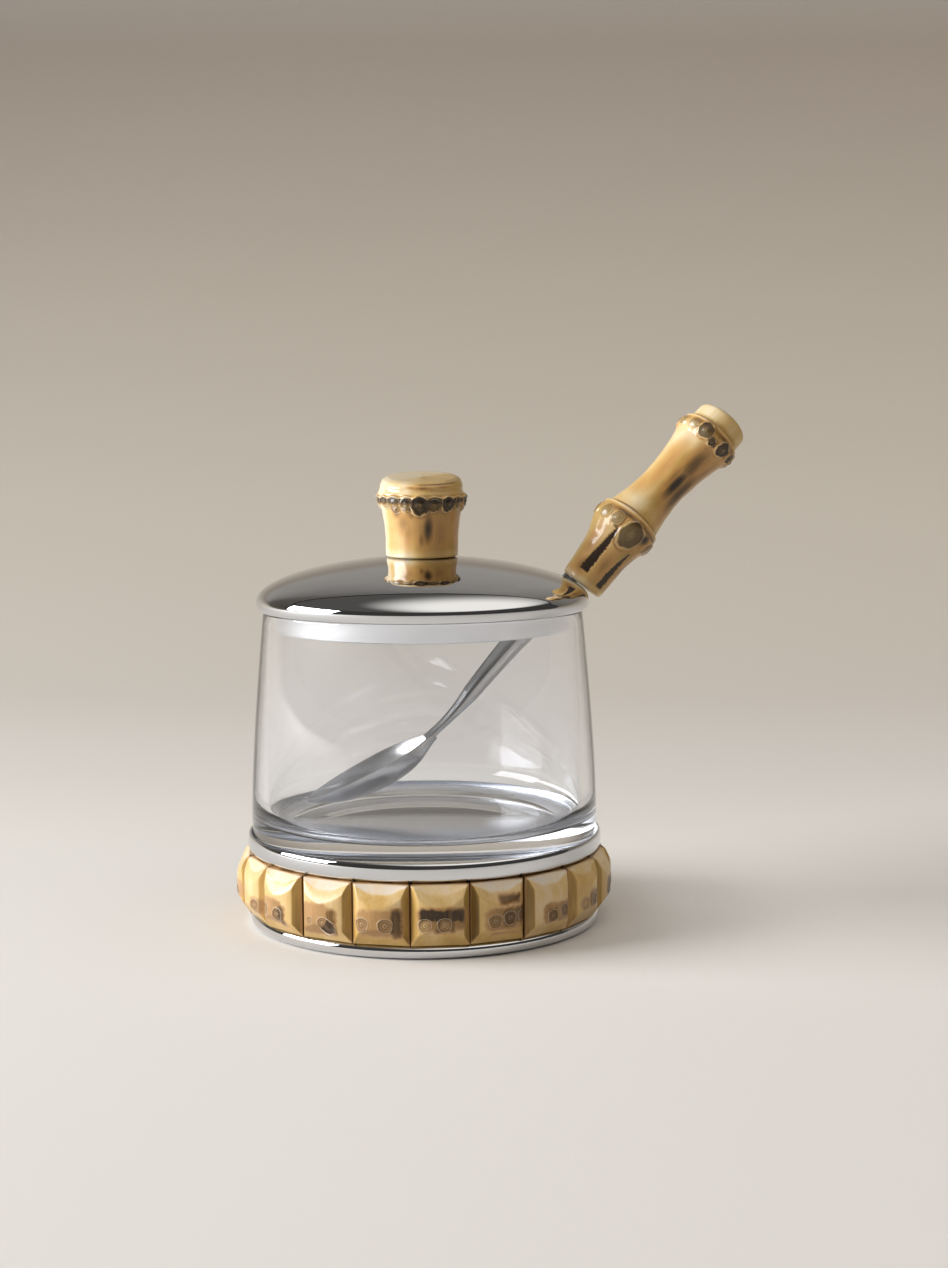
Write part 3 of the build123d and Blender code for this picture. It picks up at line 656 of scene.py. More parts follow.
block_skin = bamboo(
    "bamboo_block",
    (
        (0.1, (0.15, 0.08, 0.017)), (0.32, (0.32, 0.195, 0.05)), (0.52, (0.51, 0.315, 0.09)),
        (0.7, (0.62, 0.43, 0.195)), (0.88, (0.66, 0.53, 0.37)), (1.0, (0.65, 0.56, 0.46)),
    ),
    (0.42, 0.235, 0.1), (0.225, 0.116, 0.03), (0.03, 0.015, 0.006), 0.4,
)
core_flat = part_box("base_core")[1].x / MM * cos(pi / BLOCK_COUNT)
for number in range(BLOCK_COUNT):
    block_name = f"block_{number + 1:02d}"
    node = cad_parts[block_name]
    turn = radians(BLOCK_TURN + number * 360 / BLOCK_COUNT)
    outward, sideways = Vector((cos(turn), sin(turn), 0)), Vector((-sin(turn), cos(turn), 0))
    reach = max(vertex.co.dot(outward) for vertex in node.data.vertices) / MM
    low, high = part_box(block_name)
    foot, tall = low.z / MM, (high.z - low.z) / MM
    edge = reach - BLOCK_EDGE_IN - BLOCK_SET_IN
    half = edge * tan(pi / BLOCK_COUNT) - BLOCK_JOINT
    half_back = core_flat * tan(pi / BLOCK_COUNT) - BLOCK_JOINT
    looks = BLOCK_LOOKS.get(number)
    if looks is None:
        looks = {
            "tone": (0.74 + 0.18 * sin(number), 0.6 + 0.14 * sin(number), 0.4, 0.42),
            "eyes": [
                (place + 1.2 * sin(7 * number + place), 6.0 + sin(3 * number + place),
                 1.5 + 0.3 * sin(number), 0.3)
                for place in (-4.0, 1.5)
            ],
            "patches": (
                (0.5 + 1.5 * sin(5 * number), 6.6, 5.2, 3.0, 0.58 + 0.24 * sin(2 * number)),
            ),
        }
    bpy.ops.mesh.primitive_grid_add(
        x_subdivisions=BLOCK_STEPS, y_subdivisions=BLOCK_STEPS, size=1, location=(0, 0, 0)
    )
    block = bpy.context.object
    block.name = block.data.name = f"root_block_{number + 1:02d}"
    own, scar, stain_and_shade, pale_and_lit = [], [], [], []
    for vertex in block.data.vertices:
        across, up = 2 * vertex.co.x * half, (vertex.co.y + 0.5) * tall
        smile = 1 + BLOCK_SMILE * (across / half) ** 4
        shape = [
            BLOCK_EDGE_IN - BLOCK_CROWN * (across / (half - BLOCK_SIDE_BEVEL)) ** 2,
            (tall - up) * smile * BLOCK_BROW_DEPTH / BLOCK_BROW,
            BLOCK_BROW_DEPTH
            + (tall - BLOCK_BROW - up)
            * (BLOCK_EDGE_IN - BLOCK_BROW_DEPTH) / (BLOCK_TOP_BEVEL - BLOCK_BROW),
            up * BLOCK_EDGE_IN / BLOCK_FOOT_BEVEL,
            (half - abs(across)) * (BLOCK_EDGE_IN - BLOCK_CROWN) / BLOCK_SIDE_BEVEL,
        ]
        depth = max(-log(sum(exp(-BLOCK_CREASE * value) for value in shape)) / BLOCK_CREASE, 0)
        place = nearest_eye(across, up, looks["eyes"])
        depth += eye_relief(place) * min(depth / BUD_CALM, 1)
        vertex.co = (outward * (edge + depth) + sideways * across) * MM + Vector((0, 0, foot + up)) * MM
        own.append((across * MM + number * BLOCK_GRAIN_APART, depth * MM, up * MM))
        scar.append(place)
        darks = [in_patch(across, up, patch) for patch in looks["patches"]]
        near_eye = 0.34 * bell(hypot(place[0], place[1]), 1.1, 0.45)
        joint_and_cup_shadow = 0.9 * exp(-((half - abs(across)) / BLOCK_SIDE_STAIN))
        # Painted shadow: darker along the top of each block, under the cup.
        joint_and_cup_shadow += 0.6 * exp(-((tall - up) / BLOCK_CUP_SHADOW_FADE))
        stain_and_shade.append(min(max(max(darks, default=0), near_eye, joint_and_cup_shadow) + min(*darks, 0) * 0.8, 1))
        # Painted light: the top facet takes its paler top tone, partly the wood's own and partly light from
        # above.
        top, crown, left, right = looks["tone"]
        blur = (-BLOCK_FACET_BLUR, BLOCK_FACET_BLUR)
        brow = soft_step(min(shape[0], shape[2], shape[4]) - shape[1], *blur)
        side = soft_step(min(shape[0], shape[2], shape[3]) - shape[4], *blur) * (1 - brow)
        facet = left if across < 0 else right
        low = 0.1 * (1 - soft_step(up, 1.0, 4.5))
        pale_and_lit.append(crown + (top - crown) * brow + (facet - crown) * side - low)
    painted(block, own, scar, stain_and_shade, pale_and_lit)
    bpy.ops.object.mode_set(mode="EDIT")
    bpy.ops.mesh.select_all(action="SELECT")
    bpy.ops.mesh.region_to_loop()
    bpy.ops.mesh.extrude_edges_move(TRANSFORM_OT_translate={"value": (0, 0, 0)})
    bpy.ops.object.mode_set(mode="OBJECT")
    for vertex in block.data.vertices:
        if vertex.select:
            inward = sideways * vertex.co.dot(sideways) * half_back / half
            vertex.co = outward * core_flat * MM + inward + Vector((0, 0, vertex.co.z))
    bpy.ops.object.mode_set(mode="EDIT")
    bpy.ops.mesh.edge_face_add()
    bpy.ops.mesh.select_all(action="SELECT")
    bpy.ops.mesh.normals_make_consistent(inside=False)
    bpy.ops.object.mode_set(mode="OBJECT")
    bpy.ops.object.shade_smooth_by_angle(angle=radians(BLOCK_SMOOTH_ANGLE))
    block.data.materials.append(block_skin)
    block.select_set(False)
    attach(block, "root")
    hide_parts(block_name)

# Cup: shallow chromed dish with a rounded bead, screwed down over the drum. It holds the glass.
# Its inside is satin, and its colour there is painted paler to stand in for light, which is what shows
# through the thick foot of the glass.
CUP_FLOOR = 1.4
CUP_WALL = 1.0
CUP_SHOULDER = 2.4
CUP_ROUND = 0.4
CUP_LIP = 0.3
CUP_LIP_CUT = 0.08
CUP_SATIN = 0.26
CUP_PAINTED_PALE_COLOUR = (0.92, 0.94, 1.0)

cup_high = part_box("cup")[1]
core_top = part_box("base_core")[1].z / MM
cup_top, bead_radius = cup_high.z / MM, cup_high.x / MM
cup_bore = bead_radius - CUP_WALL
cup_side = core_top + CUP_SHOULDER
cup_dish = turned("cup_dish", [
    (0, core_top + CUP_FLOOR),
    (0, core_top),
    *curve(
        (cup_bore - CUP_ROUND, core_top), (bead_radius, core_top), (bead_radius, cup_side), count=12
    ),
    *curve(
        (bead_radius, cup_side), (bead_radius, cup_top), (cup_bore + CUP_LIP, cup_top), count=12
    )[1:],
    (cup_bore + CUP_LIP_CUT, cup_top - CUP_LIP_CUT),
    (cup_bore, cup_top - CUP_LIP),
    (cup_bore, core_top + CUP_FLOOR + CUP_ROUND),
    (cup_bore - CUP_ROUND, core_top + CUP_FLOOR),
    (0, core_top + CUP_FLOOR),
])
cup_chrome = chrome.copy()
cup_chrome.name = "cup_chrome"
tree = cup_chrome.node_tree
shader = tree.nodes["Principled BSDF"]
bright, smooth = (shader.inputs[slot].links[0].from_socket for slot in ("Base Color", "Roughness"))
spot = added(
    tree, "ShaderNodeVectorMath", {0: object_place(tree), 1: (1, 1, 0)}, operation="MULTIPLY"
)
from_axis = added(tree, "ShaderNodeVectorMath", {0: spot.outputs["Vector"]}, operation="LENGTH")
within = mapped(tree, from_axis.outputs["Value"], (cup_bore + 0.2) * MM, (cup_bore + 0.1) * MM)
# Painted light: the inside of the cup is paler than the chrome.
fed(tree, shader, {
    "Roughness": worked(tree, "MULTIPLY_ADD", within, CUP_SATIN, smooth),
    "Base Color": blended(tree, within, bright, CUP_PAINTED_PALE_COLOUR),
})
cup_dish.data.materials.append(cup_chrome)
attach(cup_dish, "root")
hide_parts("cup")

# Screws inside: three hold foot, drum and cup together, one holds the knob over its washer, and a stud
# joins the spoon's shaft and handle. They are zinc-plated steel, a little dull.
dressed(
    metal("screw_steel", (0.52, 0.51, 0.49), 0.25, 0.2),
    "base_screws", "knob_screw", "knob_washer", "handle_stud",
)

# Glass: clear jar, blown and turned, with a thick base that stands loose in the cup on a narrow land.
# It draws in to the mouth, where its wall is thinner and its rim is rounded.
GLASS_BASE = 7.0
GLASS_WALL = 4.4
GLASS_RIM_WALL = 2.3
GLASS_TAPER = 4.0
GLASS_STRAIGHT = 7.4
GLASS_RIM_ROUND = 0.7
GLASS_BEND = 0.3
GLASS_HEEL = 2.0
GLASS_HEEL_IN = 0.2
GLASS_LAND = 9.0
GLASS_LAND_SLOPE = 2.0
GLASS_PUNT = 0.5
GLASS_FLOOR_ROUND = 6.5
# Share of the lamps' light that goes on through each face of the glass to what stands behind it.
GLASS_CLEAR = 0.82
GLASS_COLOUR = (0.975, 0.985, 1.0)
GLASS_IOR = 1.49
GLASS_WAVES = 45

glass_low, glass_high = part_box("glass_jar")
glass_bottom, glass_top = glass_low.z / MM, glass_high.z / MM
glass_foot = glass_high.x / MM
rim_out = glass_foot - GLASS_TAPER
mouth = rim_out - GLASS_RIM_WALL
floor = glass_bottom + GLASS_BASE
knee = glass_bottom + GLASS_STRAIGHT
bend = (glass_top - knee) * GLASS_BEND
inner = glass_foot - GLASS_WALL
rim_low = glass_top - GLASS_RIM_ROUND
land = glass_foot - GLASS_HEEL - GLASS_LAND
heel = glass_foot - GLASS_HEEL_IN
jar = turned("jar_glass", [
    (0, floor),
    (0, glass_bottom + GLASS_PUNT),
    (land - GLASS_LAND_SLOPE, glass_bottom + GLASS_PUNT),
    (land, glass_bottom),
    *curve(
        (heel - GLASS_HEEL, glass_bottom), (heel, glass_bottom), (heel, glass_bottom + GLASS_HEEL)
    ),
    *curve((glass_foot, knee), (glass_foot, knee + bend), (rim_out, rim_low), count=24),
    *curve((rim_out, rim_low), (rim_out, glass_top), (rim_out - GLASS_RIM_ROUND, glass_top))[1:],
    *curve((mouth + GLASS_RIM_ROUND, glass_top), (mouth, glass_top), (mouth, rim_low)),
    *curve(
        (mouth, rim_low),
        (inner, floor + GLASS_FLOOR_ROUND + bend),
        (inner, floor + GLASS_FLOOR_ROUND),
        count=24,
    )[1:],
    *curve(
        (inner, floor + GLASS_FLOOR_ROUND), (inner, floor), (inner - GLASS_FLOOR_ROUND, floor),
        count=14,
    )[1:],
    (0, floor),
])
glass, tree, shader = material("clear_glass")
blow = noisy(tree, object_place(tree), GLASS_WAVES, 1).outputs["Fac"]
by_lamp = tree.nodes.new("ShaderNodeLightPath").outputs["Is Shadow Ray"]
fed(tree, shader, {
    "Transmission Weight": 1.0,
    "IOR": GLASS_IOR,
    "Base Color": (*GLASS_COLOUR, 1),
    "Normal": bumped(tree, blow, 0.12, 0.25),
    "Roughness": mapped(tree, blow, 0.0, 1.0, 0.0, 0.02),
    "Alpha": mapped(tree, by_lamp, 0.0, 1.0, 1.0, 1.0 - GLASS_CLEAR),
})
jar.data.materials.append(glass)
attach(jar, "jar")
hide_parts("glass_jar")

# Lid dome: spun from one sheet of brass, with a rounded rim, and chromed all over. A notch is sawn
# in its edge for the spoon's shaft, under the handle.
LID_RISE = 12.6
LID_SHEET = 1.3
LID_FULLNESS = 0.61
LID_LIP = 1.2
PLUG_HOLD = 3.6
NOTCH_HALF = 4.75
NOTCH_REACH = 5.0
NOTCH_STEPS = 48
SAW_DEPTH = 40

lid_low, lid_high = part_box("lid_dome")
plug_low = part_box("lid_plug")[0]
lid_radius, lid_apex, lid_bottom = -lid_low.x / MM, lid_high.z / MM, glass_top
lid_widest = lid_apex - LID_RISE
plug_radius, plug_bottom = -plug_low.x / MM, plug_low.z / MM
under_apex, under_rim = lid_apex - LID_SHEET, lid_bottom + PLUG_HOLD
dome_shell = turned("dome_shell", [
    (plug_radius, under_rim),
    (plug_radius, lid_bottom),
    *curve(
        (lid_radius - LID_LIP, lid_bottom), (lid_radius - 0.1, lid_bottom), (lid_radius, lid_widest)
    ),
    *curve(
        (lid_radius, lid_widest),
        (lid_radius, lid_widest + LID_FULLNESS * LID_RISE),
        (lid_radius * (1 - LID_FULLNESS), lid_apex),
        (0, lid_apex),
        count=70,
    )[1:],
    *curve(
        (0, under_apex),
        (plug_radius * (1 - LID_FULLNESS), under_apex),
        (plug_radius, under_rim + LID_FULLNESS * (under_apex - under_rim)),
        (plug_radius, under_rim),
        count=20,
    ),
])


def notched(piece):
    """Saw the spoon's notch out of the edge of a lid piece."""
    bpy.ops.mesh.primitive_cylinder_add(
        vertices=NOTCH_STEPS,
        radius=NOTCH_HALF * MM,
        depth=SAW_DEPTH * MM,
        location=((lid_radius - NOTCH_REACH) * MM, 0, lid_bottom * MM),
    )
    saw = bpy.context.object
    for vertex in saw.data.vertices:
        if vertex.co.x > 0.001 * MM:
            vertex.co.x += 2 * NOTCH_REACH * MM
    cut = piece.modifiers.new("notch", "BOOLEAN")
    cut.operation = "DIFFERENCE"
    cut.solver = "EXACT"
    cut.object = saw
    saw.select_set(False)
    bpy.context.view_layer.objects.active = piece
    piece.select_set(True)
    bpy.ops.object.modifier_apply(modifier=cut.name)
    bpy.ops.object.shade_smooth_by_angle(angle=radians(SMOOTH_ANGLE))
    piece.select_set(False)
    bpy.data.objects.remove(saw)


notched(dome_shell)
dome_shell.data.materials.append(chrome)
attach(dome_shell, "lid")
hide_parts("lid_dome")

# Plug: skirt ring soldered inside the dome, which centres the lid in the mouth.
# Its chrome is duller than the dome's, and painted paler to stand in for the light it shows through the
# glass.
PLUG_WALL = 1.0
PLUG_ROUND = 0.4

skirt = turned("plug_skirt", [
    (plug_radius, under_rim),
    *curve(
        (plug_radius, plug_bottom + PLUG_ROUND),
        (plug_radius, plug_bottom),
        (plug_radius - PLUG_ROUND, plug_bottom),
    ),
    *curve(
        (plug_radius - (PLUG_WALL - PLUG_ROUND), plug_bottom),
        (plug_radius - PLUG_WALL, plug_bottom),
        (plug_radius - PLUG_WALL, plug_bottom + PLUG_ROUND),
    ),
    (plug_radius - PLUG_WALL, under_rim),
    (plug_radius, under_rim),
])
notched(skirt)
skirt.data.materials.append(metal("skirt_chrome", (0.86, 0.87, 0.9), 0.08, 0.08))
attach(skirt, "lid")
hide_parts("lid_plug")

# Knob: bamboo root turned at both ends, with its collar of buds left whole under the cap.
# Marks are placed by degrees round it, to the right of the side that faces the camera, and by height.
# Collar, head and shoulder are humps: the middle's height, how tall they are, and how square.
KNOB_FRONT = -98.0
KNOB_STEPS = 224
KNOB_SEAT_RADIUS = 9.0
KNOB_SEAT_DEPTH = 0.6
KNOB_BORE = 2.05
KNOB_HEIGHT = 22.75
KNOB_SAW_TILT = 7.5
KNOB_SAW_START = 19.0
KNOB_COLLAR = (15.6, 2.9, 4)
KNOB_HEAD = (21.2, 1.5, 4)
KNOB_SHOULDER = (18.7, 1.1, 2)
KNOB_SCALLOPS = 19
KNOB_SCALLOP = 0.22
KNOB_RIDGE = 17.35
KNOB_LIP = 17.4
KNOB_LINE = 17.75
# Height of a painted shade line under the front edge of the sawn top.
KNOB_EDGE_SHADE = 21.9
# Buds are the degrees and height of the middle, the radius, and how far they stand out.
KNOB_BUDS = (
    (-76, 16.4, 1.4, 0.15), (-57, 16.2, 1.3, 0.15), (-39, 15.8, 1.75, 0.3), (-20, 15.5, 1.5, 0.55),
    (-1, 15.2, 2.3, 1.0), (18, 15.2, 1.5, 0.75), (37, 15.5, 1.8, 1.0), (56, 15.7, 1.2, 0.5),
    (80, 15.9, 1.9, 1.0), (103, 15.5, 1.6, 0.8), (127, 15.3, 2.0, 1.0), (150, 15.2, 1.4, 0.6),
    (172, 15.2, 1.8, 0.9), (196, 15.4, 1.5, 0.7), (220, 15.4, 2.0, 1.0), (243, 15.7, 1.5, 0.6),
    (264, 16.2, 1.5, 0.4),
)
# Stains are the middle's degrees and height, how wide and tall they are, and how dark. The three just under
# the sawn top, near 20.5 up, are partly stains and partly painted shade under its edge.
KNOB_STAINS_AND_SHADE = (
    (4, 7.4, 22, 6.4, 0.54), (10, 8.4, 10, 5.4, 0.84), (0, 5.4, 7, 3.6, 0.66), (30, 7.0, 20, 6.6, 0.44),
    (-27, 10.0, 16, 4.4, 0.44), (-20, 7.0, 13, 5.2, 0.42), (66, 7.2, 22, 7.4, 0.34),
    (48, 11.0, 16, 3.4, 0.36), (-14, 12.4, 8, 1.6, 0.6), (-2, 12.0, 6, 1.4, 0.55),
    (-38, 13.0, 9, 2.0, 0.6), (90, 10, 16, 6.0, 0.3), (2, 20.4, 14, 0.9, 0.66),
    (-12, 20.6, 10, 0.7, 0.5), (32, 20.7, 14, 0.5, 0.44),
    (-50, 19.0, 8, 0.6, 0.42), (170, 7.0, 30, 5.0, 0.6), (230, 9.0, 16, 4.0, 0.45),
)


def through(points, spacing):
    """Points of radius and height, evenly spaced, along a smooth line through the given ones."""
    line = []
    ends = [points[0], *points, points[-1]]
    for before, start, end, after in zip(ends, ends[1:], ends[2:], ends[3:]):
        before, start, end, after = (Vector(point) for point in (before, start, end, after))
        steps = max(round((end - start).length / spacing), 1)
        for step in range(steps):
            t = step / steps
            line.append(tuple(0.5 * (
                2 * start
                + (end - before) * t
                + (2 * before - 5 * start + 4 * end - after) * t**2
                + (3 * start - before - 3 * end + after) * t**3
            )))
    return line + [tuple(points[-1])]


def turn_between(first, second):
    """Degrees from one direction to another, the short way round."""
    return (first - second + 180) % 360 - 180


def nearest_bud(buds, around, up, radius, span, tall=99):
    """Way to the nearest bud, round and up, with its radius and how far it stands out."""
    eyes = [
        (radians(turn_between(bud[0], around)) * radius, bud[1] - up, bud[2], bud[3])
        for bud in buds
        if abs(turn_between(bud[0], around)) < span and abs(bud[1] - up) < tall
    ]
    return min(eyes, key=lambda eye: hypot(eye[0], eye[1]) / eye[2], default=(99.0, 99.0, 1.0, 0.0))


def spotted(stains_and_shade, around, up):
    """How dark each stain, or patch of painted shade, makes a place."""
    return [
        dark * exp(-((turn_between(around, middle) / wide) ** 2) - ((up - height) / tall) ** 2)
        for middle, height, wide, tall, dark in stains_and_shade
    ]


knob_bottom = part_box("knob")[0].z / MM
knob = turned("root_knob", [
    (KNOB_BORE, KNOB_SEAT_DEPTH * (1 - KNOB_BORE / KNOB_SEAT_RADIUS)),
    (KNOB_SEAT_RADIUS, 0.0),
    *through(
        [(9.3, 0.0), (9.75, 0.3), (9.95, 0.9), (10.2, 4.0), (10.55, 7.5), (11.0, 11.0), (11.5, 13.6)],
        0.22,
    ),
    *through([(11.85, 14.6), (12.15, 16.0), (12.2, 17.3), (11.95, 18.1), (11.6, 18.5)], 0.18),
    *through([(11.45, 18.8), (11.4, 19.6), (11.15, 20.7), (10.75, 21.8), (10.4, 22.4), (9.8, 22.7)], 0.2),
    *[(radius, KNOB_HEIGHT) for radius in (9.0, 7.4, 5.8, 4.4, 3.2, 2.0, 1.0, 0.4)],
    (0, KNOB_HEIGHT),
], steps=KNOB_STEPS)
own, scar, stain_and_shade, pale_and_lit = [], [], [], []
for vertex in knob.data.vertices:
    x, y, up = (value / MM for value in vertex.co)
    radius = hypot(x, y)
    around = turn_between(atan2(y, x) * 180 / pi, KNOB_FRONT)
    best = nearest_bud(KNOB_BUDS, around, up, radius, 40)
    low_side = 0.82 if best[1] > 0 else 1.0
    place = (-best[0] / best[2], -best[1] / best[2] * low_side, best[3])
    away = hypot(place[0], place[1])
    merged = soft_step(-around, 25, 60) * (1 - soft_step(-around, 120, 150))
    scallop = KNOB_SCALLOP * cos(radians(360 / KNOB_SCALLOPS * (around + 1)))
    swell = 0.75 * bell(away, 0, 1.2, 4) * bell(up, *KNOB_COLLAR) + 0.6 * bell(up, *KNOB_HEAD)
    ridge = 0.3 * bell(up - KNOB_RIDGE - scallop, 0, 0.3)
    shoulder = (0.35 + 0.45 * merged) * bell(up, *KNOB_SHOULDER)
    foot_swell = 0.35 * (1 - soft_step(up, 2.0, 7.0))
    grow = swell + ridge + shoulder + foot_swell + eye_relief(place) * 1.3
    wave = 0.1 * sin(radians(2 * around + 40)) + 0.07 * sin(radians(3 * around))
    soft = 0.1 * noise.noise(Vector((x, y, up)) * 0.35)
    grow = (grow + wave + soft) * soft_step(radius, 9.0, 9.6) * (1 - soft_step(up, 22.0, 22.6))
    grow *= soft_step(up, 0.0, 0.3)
    scale = (radius + grow) / radius if radius > 0.01 else 1
    sawn = KNOB_HEIGHT - tan(radians(KNOB_SAW_TILT)) * radius * cos(radians(around))
    raised = up
    if up > KNOB_SAW_START:
        raised = KNOB_SAW_START + (
            (up - KNOB_SAW_START) * (sawn - KNOB_SAW_START) / (KNOB_HEIGHT - KNOB_SAW_START)
        )
    vertex.co = (x * scale * MM, y * scale * MM, (knob_bottom + raised) * MM)
    own.append((x * MM, y * MM, up * MM))
    scar.append(place)
    band = 0.86 * soft_step(up, 14.6, 16.2) * (1 - soft_step(up, 17.0 + scallop, 17.3 + scallop))
    halo = 0.55 * soft_step(place[2], 0.2, 0.6) * bell(away, 1.3, 0.16) * (place[1] < 0.2)
    # Painted shade: a dark line under the front edge of the sawn top.
    edge_shade = bell(up, KNOB_EDGE_SHADE, 0.25) * soft_step(around, -14, 2) * (1 - soft_step(around, 50, 72))
    line = 0.55 * bell(up - KNOB_LINE - scallop, 0, 0.14)
    spots = spotted(KNOB_STAINS_AND_SHADE, around, up)
    darkest = max(band, halo, 0.85 * edge_shade, line, *spots) if radius > 9.4 else max(spots) * 0.4
    stain_and_shade.append(min(darkest, 1))
    # Painted light and shade: paler on the left side, towards the lamp, and darker from the front round to
    # the right.
    in_shade = soft_step(around, -26, 10) * (1 - soft_step(around, 100, 140))
    lit = 0.74 + 0.3 * soft_step(-around, 52, 78) - 0.3 * in_shade
    lip = 0.36 * bell(up - KNOB_LIP - scallop, 0, 0.2)
    head = 0.2 * soft_step(up, 17.6, 18.4)
    foot = 0.26 * (1 - soft_step(up, 0.6, 3.6))
    pale_and_lit.append(lit + lip + head + foot)
painted(knob, own, scar, stain_and_shade, pale_and_lit)
root_skin = bamboo(
    "bamboo_root",
    (
        (0.1, (0.13, 0.075, 0.016)), (0.34, (0.29, 0.185, 0.042)), (0.54, (0.46, 0.29, 0.078)),
        (0.72, (0.58, 0.385, 0.145)), (0.9, (0.66, 0.5, 0.27)), (1.0, (0.68, 0.56, 0.37)),
    ),
    (0.47, 0.245, 0.075), (0.165, 0.088, 0.026), (0.022, 0.013, 0.007), 0.5,
)
knob.data.materials.append(root_skin)
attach(knob, "lid")
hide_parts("knob")

# Spoon: bowl and neck forged from one bar, and a round tapered shaft. Steel, polished by hand along
# its length, with faint wiping marks that blur its shine a little.
dressed(metal("spoon_steel", (0.5, 0.495, 0.49), 0.18, 0.1), "spoon_bowl", "spoon_shaft")

# Spoon handle: two joints of bamboo root on the shaft's stud. It is made upright from its foot,
# marked, and then bent at the lower collar and leaned into place over the lid.
# Marks are placed by degrees round it, from its upper side towards the camera, and by length.
HANDLE_FOOT = (45.95, 95.7)
HANDLE_LEANS = (52.0, 46.0)
HANDLE_LOWER = 20.5
HANDLE_LENGTH = 63.0
HANDLE_BORE = 2.05
HANDLE_STEPS = 176
HANDLE_RING_LEAN = 1.6
HANDLE_RING_DROP = 0.2
# Collars are humps like the knob's. Ridges and lines are how far up they run, and bands also how dark.
HANDLE_COLLARS = ((20.0, 3.2, 4), (54.8, 2.8, 4))
HANDLE_RIDGES = (23.7, 57.5)
HANDLE_LINES = (24.3, 58.1)
HANDLE_BANDS = ((22.2, 0.7), (56.4, 0.62))
HANDLE_GROOVE = 0.3
HANDLE_BUDS = (
    (2, 20.4, 1.2, 0.4), (31, 20.4, 1.45, 0.35), (58, 20.0, 1.5, 0.45), (97, 18.4, 3.1, 0.8),
    (150, 19.2, 1.9, 0.4), (185, 20.0, 1.5, 0.7), (215, 20.4, 1.6, 0.8), (250, 20.6, 1.4, 0.6),
    (285, 20.8, 1.8, 0.9), (325, 20.7, 1.5, 0.6),
    (10, 55.0, 1.2, 0.4), (38, 55.0, 1.25, 0.35), (67, 55.0, 2.0, 0.85), (89, 53.4, 1.0, 1.0),
    (115, 54.2, 1.85, 1.0), (144, 54.6, 1.25, 1.0), (172, 55.3, 1.7, 0.8), (200, 55.4, 1.3, 0.7),
    (228, 55.2, 1.8, 1.0), (258, 55.4, 1.2, 0.7), (288, 55.6, 1.6, 0.9), (318, 55.5, 1.3, 0.6),
    (345, 55.3, 1.4, 0.8),
)
# Burnt stripes run along the lower joint: degrees and length at each end, and half their width.
HANDLE_STRIPES = (
    (60, 3.8, 70, 18.0, 1.3), (122, 2.2, 127, 15.0, 1.05), (205, 2.4, 200, 17.8, 0.8),
    (300, 2.6, 305, 18.2, 0.7),
)
# Stains are the middle's degrees and length, how wide and long they are, and how dark. The two broad
# ones on the lower side, at 130 and 144 degrees, are partly stains and partly painted shade.
HANDLE_STAINS_AND_SHADE = (
    (100, 38.8, 17, 6.6, 1.0), (98, 45.6, 24, 7.6, 0.76), (130, 38.0, 28, 9.4, 0.8),
    (110, 48.0, 18, 4.5, 0.5), (144, 44.0, 28, 11.0, 0.55), (46, 41.0, 24, 10.0, 0.42),
    (82, 40.0, 15, 7.0, 0.58), (30, 33.0, 26, 6.0, 0.28), (130, 29.0, 18, 4.0, 0.45),
    (124, 20.0, 13, 2.6, 0.97), (84, 21.8, 20, 0.9, 0.6), (36, 12.0, 18, 6.5, 0.44),
    (46, 4.6, 24, 3.6, 0.56), (96, 8.0, 18, 6.5, 0.46), (152, 12.0, 20, 8.0, 0.6),
    (92, 51.0, 10, 1.6, 0.52), (150, 50.0, 16, 3.4, 0.48), (240, 40.0, 18, 6.0, 0.7),
    (320, 36.0, 16, 5.0, 0.45),
)

handle = turned("root_handle", [
    (HANDLE_BORE, 0.0),
    *through([(5.4, 0.0), (6.1, 0.3), (6.4, 1.0), (6.7, 5.1), (7.1, 10.5), (7.8, 14.4), (8.7, 17.2)], 0.28),
    *through([(9.1, 18.2), (9.55, 20.4), (9.5, 22.2), (9.15, 23.6), (8.5, 24.4)], 0.22),
    *through(
        [(8.25, 24.8), (7.7, 27.5), (6.95, 31.5), (6.55, 36.2), (6.7, 41.0), (7.2, 46.0),
         (7.75, 49.5), (8.4, 52.4)],
        0.3,
    ),
    *through([(8.75, 53.4), (9.15, 54.8), (9.05, 56.6), (8.75, 57.7), (8.25, 58.3)], 0.22),
    *through([(7.95, 58.8), (7.9, 60.4), (7.85, 61.9), (7.55, 62.6), (6.9, 62.95)], 0.25),
    *[(radius, HANDLE_LENGTH) for radius in (5.6, 4.4, 3.2, 2.0, 1.0, 0.4)],
    (0, HANDLE_LENGTH),
], steps=HANDLE_STEPS)
lower, upper = (radians(value) for value in HANDLE_LEANS)
own, scar, stain_and_shade, pale_and_lit = [], [], [], []
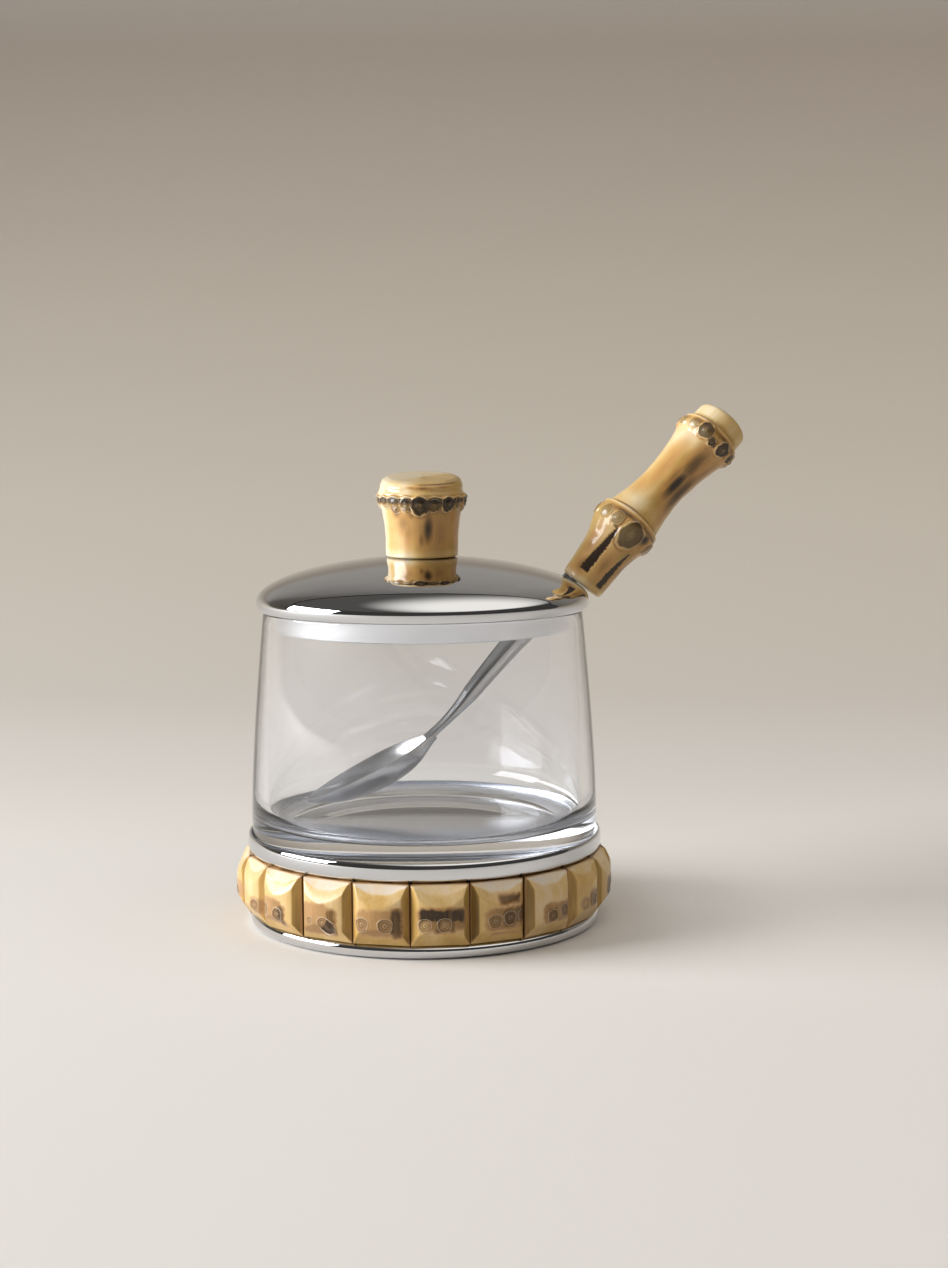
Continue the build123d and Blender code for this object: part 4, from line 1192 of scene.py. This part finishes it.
for vertex in handle.data.vertices:
    x, y, up = (value / MM for value in vertex.co)
    radius = hypot(x, y)
    around = atan2(y, x) * 180 / pi
    best = nearest_bud(HANDLE_BUDS, around, up, radius, 50, 7)
    place = (-best[0] / best[2], -best[1] / best[2] * 0.9, best[3])
    away = hypot(place[0], place[1])
    swell = 0.6 * bell(away, 0, 1.15, 4) * sum(bell(up, *collar) for collar in HANDLE_COLLARS)
    ridge = sum(
        0.25 * bell(up, ring, 0.28) - 0.22 * bell(up - ring - 0.7, 0, 0.3) for ring in HANDLE_RIDGES
    )
    groove = burnt = 0
    for start, low, end, high, broad in HANDLE_STRIPES:
        share = (up - low) / (high - low)
        if -0.1 < share < 1.1:
            off = abs(radians(turn_between(around, start + (end - start) * share)) * radius)
            comb = sin(up * 8.3 + start) * (0.6 + 0.4 * sin(up * 2.9 + start))
            ragged = 0.16 * comb + 0.35 * noise.noise(Vector((around * 0.05, up * 1.6, start)))
            half_wide = broad * (1 - 0.8 * share**2) + 0.25
            inside = 1 - soft_step(off + ragged, half_wide - 0.3, half_wide + 0.12)
            inside *= soft_step(share, -0.05, 0.02) * (1 - soft_step(share, 0.97, 1.05))
            burnt = max(burnt, inside)
            groove = min(groove, -HANDLE_GROOVE * inside * (0.8 + 0.3 * comb))
    wave = 0.1 * sin(radians(2 * around + 70)) + 0.08 * sin(radians(3 * around + up * 4))
    soft = 0.1 * noise.noise(Vector((x, y, up)) * 0.3)
    inner = radius < 6.4 and (up > 62 or up < 0.25)
    knot = 0.35 if best[2] > 2.5 else 1.0
    grow = 0 if inner else swell + ridge + groove + wave + soft + eye_relief(place) * 1.15 * knot
    grow *= soft_step(up, 0.0, 0.8) if up < 10 else 1
    scale = (radius + grow) / radius if radius > 0.01 else 1
    own.append((x * MM, y * MM, up * MM))
    scar.append(place)
    halo = 0.5 * soft_step(place[2], 0.2, 0.6) * bell(away, 1.3, 0.16)
    band = sum(strength * bell(up, ring, 0.9) for ring, strength in HANDLE_BANDS)
    band *= 0.45 + 0.55 * soft_step(around, 20, 60)
    line = sum(0.66 * bell(up, ring, 0.16) for ring in HANDLE_LINES)
    stain_and_shade.append(min(max(halo, band, line, 0.98 * burnt, *spotted(HANDLE_STAINS_AND_SHADE, around, up)), 1))
    lip = 0.22 * sum(bell(up, ring, 0.22) for ring in HANDLE_RIDGES)
    cap = 0.2 * soft_step(up, 58.6, 59.4)
    lobe = 0.22 * (1 - soft_step(up, 1.2, 2.6))
    middle = 0.16 * bell(up, 27.5, 3.5) + 0.16 * bell(up, 51, 3)
    # Painted shade: darker on the side towards the camera and underneath.
    lit = 0.72 - 0.24 * soft_step(around, 50, 120) * (1 - soft_step(around, 190, 230))
    pale_and_lit.append(lit + lip + cap + lobe + middle)
    on_ring = soft_step(up, 12, 19) * (1 - 0.55 * soft_step(up, 25, 33) * (1 - soft_step(up, 44, 52)))
    moved = up + (HANDLE_RING_LEAN * sin(radians(around)) - HANDLE_RING_DROP) * on_ring
    share = soft_step(up, HANDLE_LOWER - 4, HANDLE_LOWER + 4)
    lean = radians(HANDLE_LEANS[0] + (HANDLE_LEANS[1] - HANDLE_LEANS[0]) * share)
    run, rest = min(moved, HANDLE_LOWER), max(moved - HANDLE_LOWER, 0)
    centre_x = HANDLE_FOOT[0] + run * cos(lower) + rest * cos(upper)
    centre_z = HANDLE_FOOT[1] + run * sin(lower) + rest * sin(upper)
    vertex.co = Vector((
        centre_x - sin(lean) * x * scale,
        -y * scale,
        centre_z + cos(lean) * x * scale,
    )) * MM
painted(handle, own, scar, stain_and_shade, pale_and_lit)
handle.data.materials.append(root_skin)
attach(handle, "spoon")
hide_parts("spoon_handle")
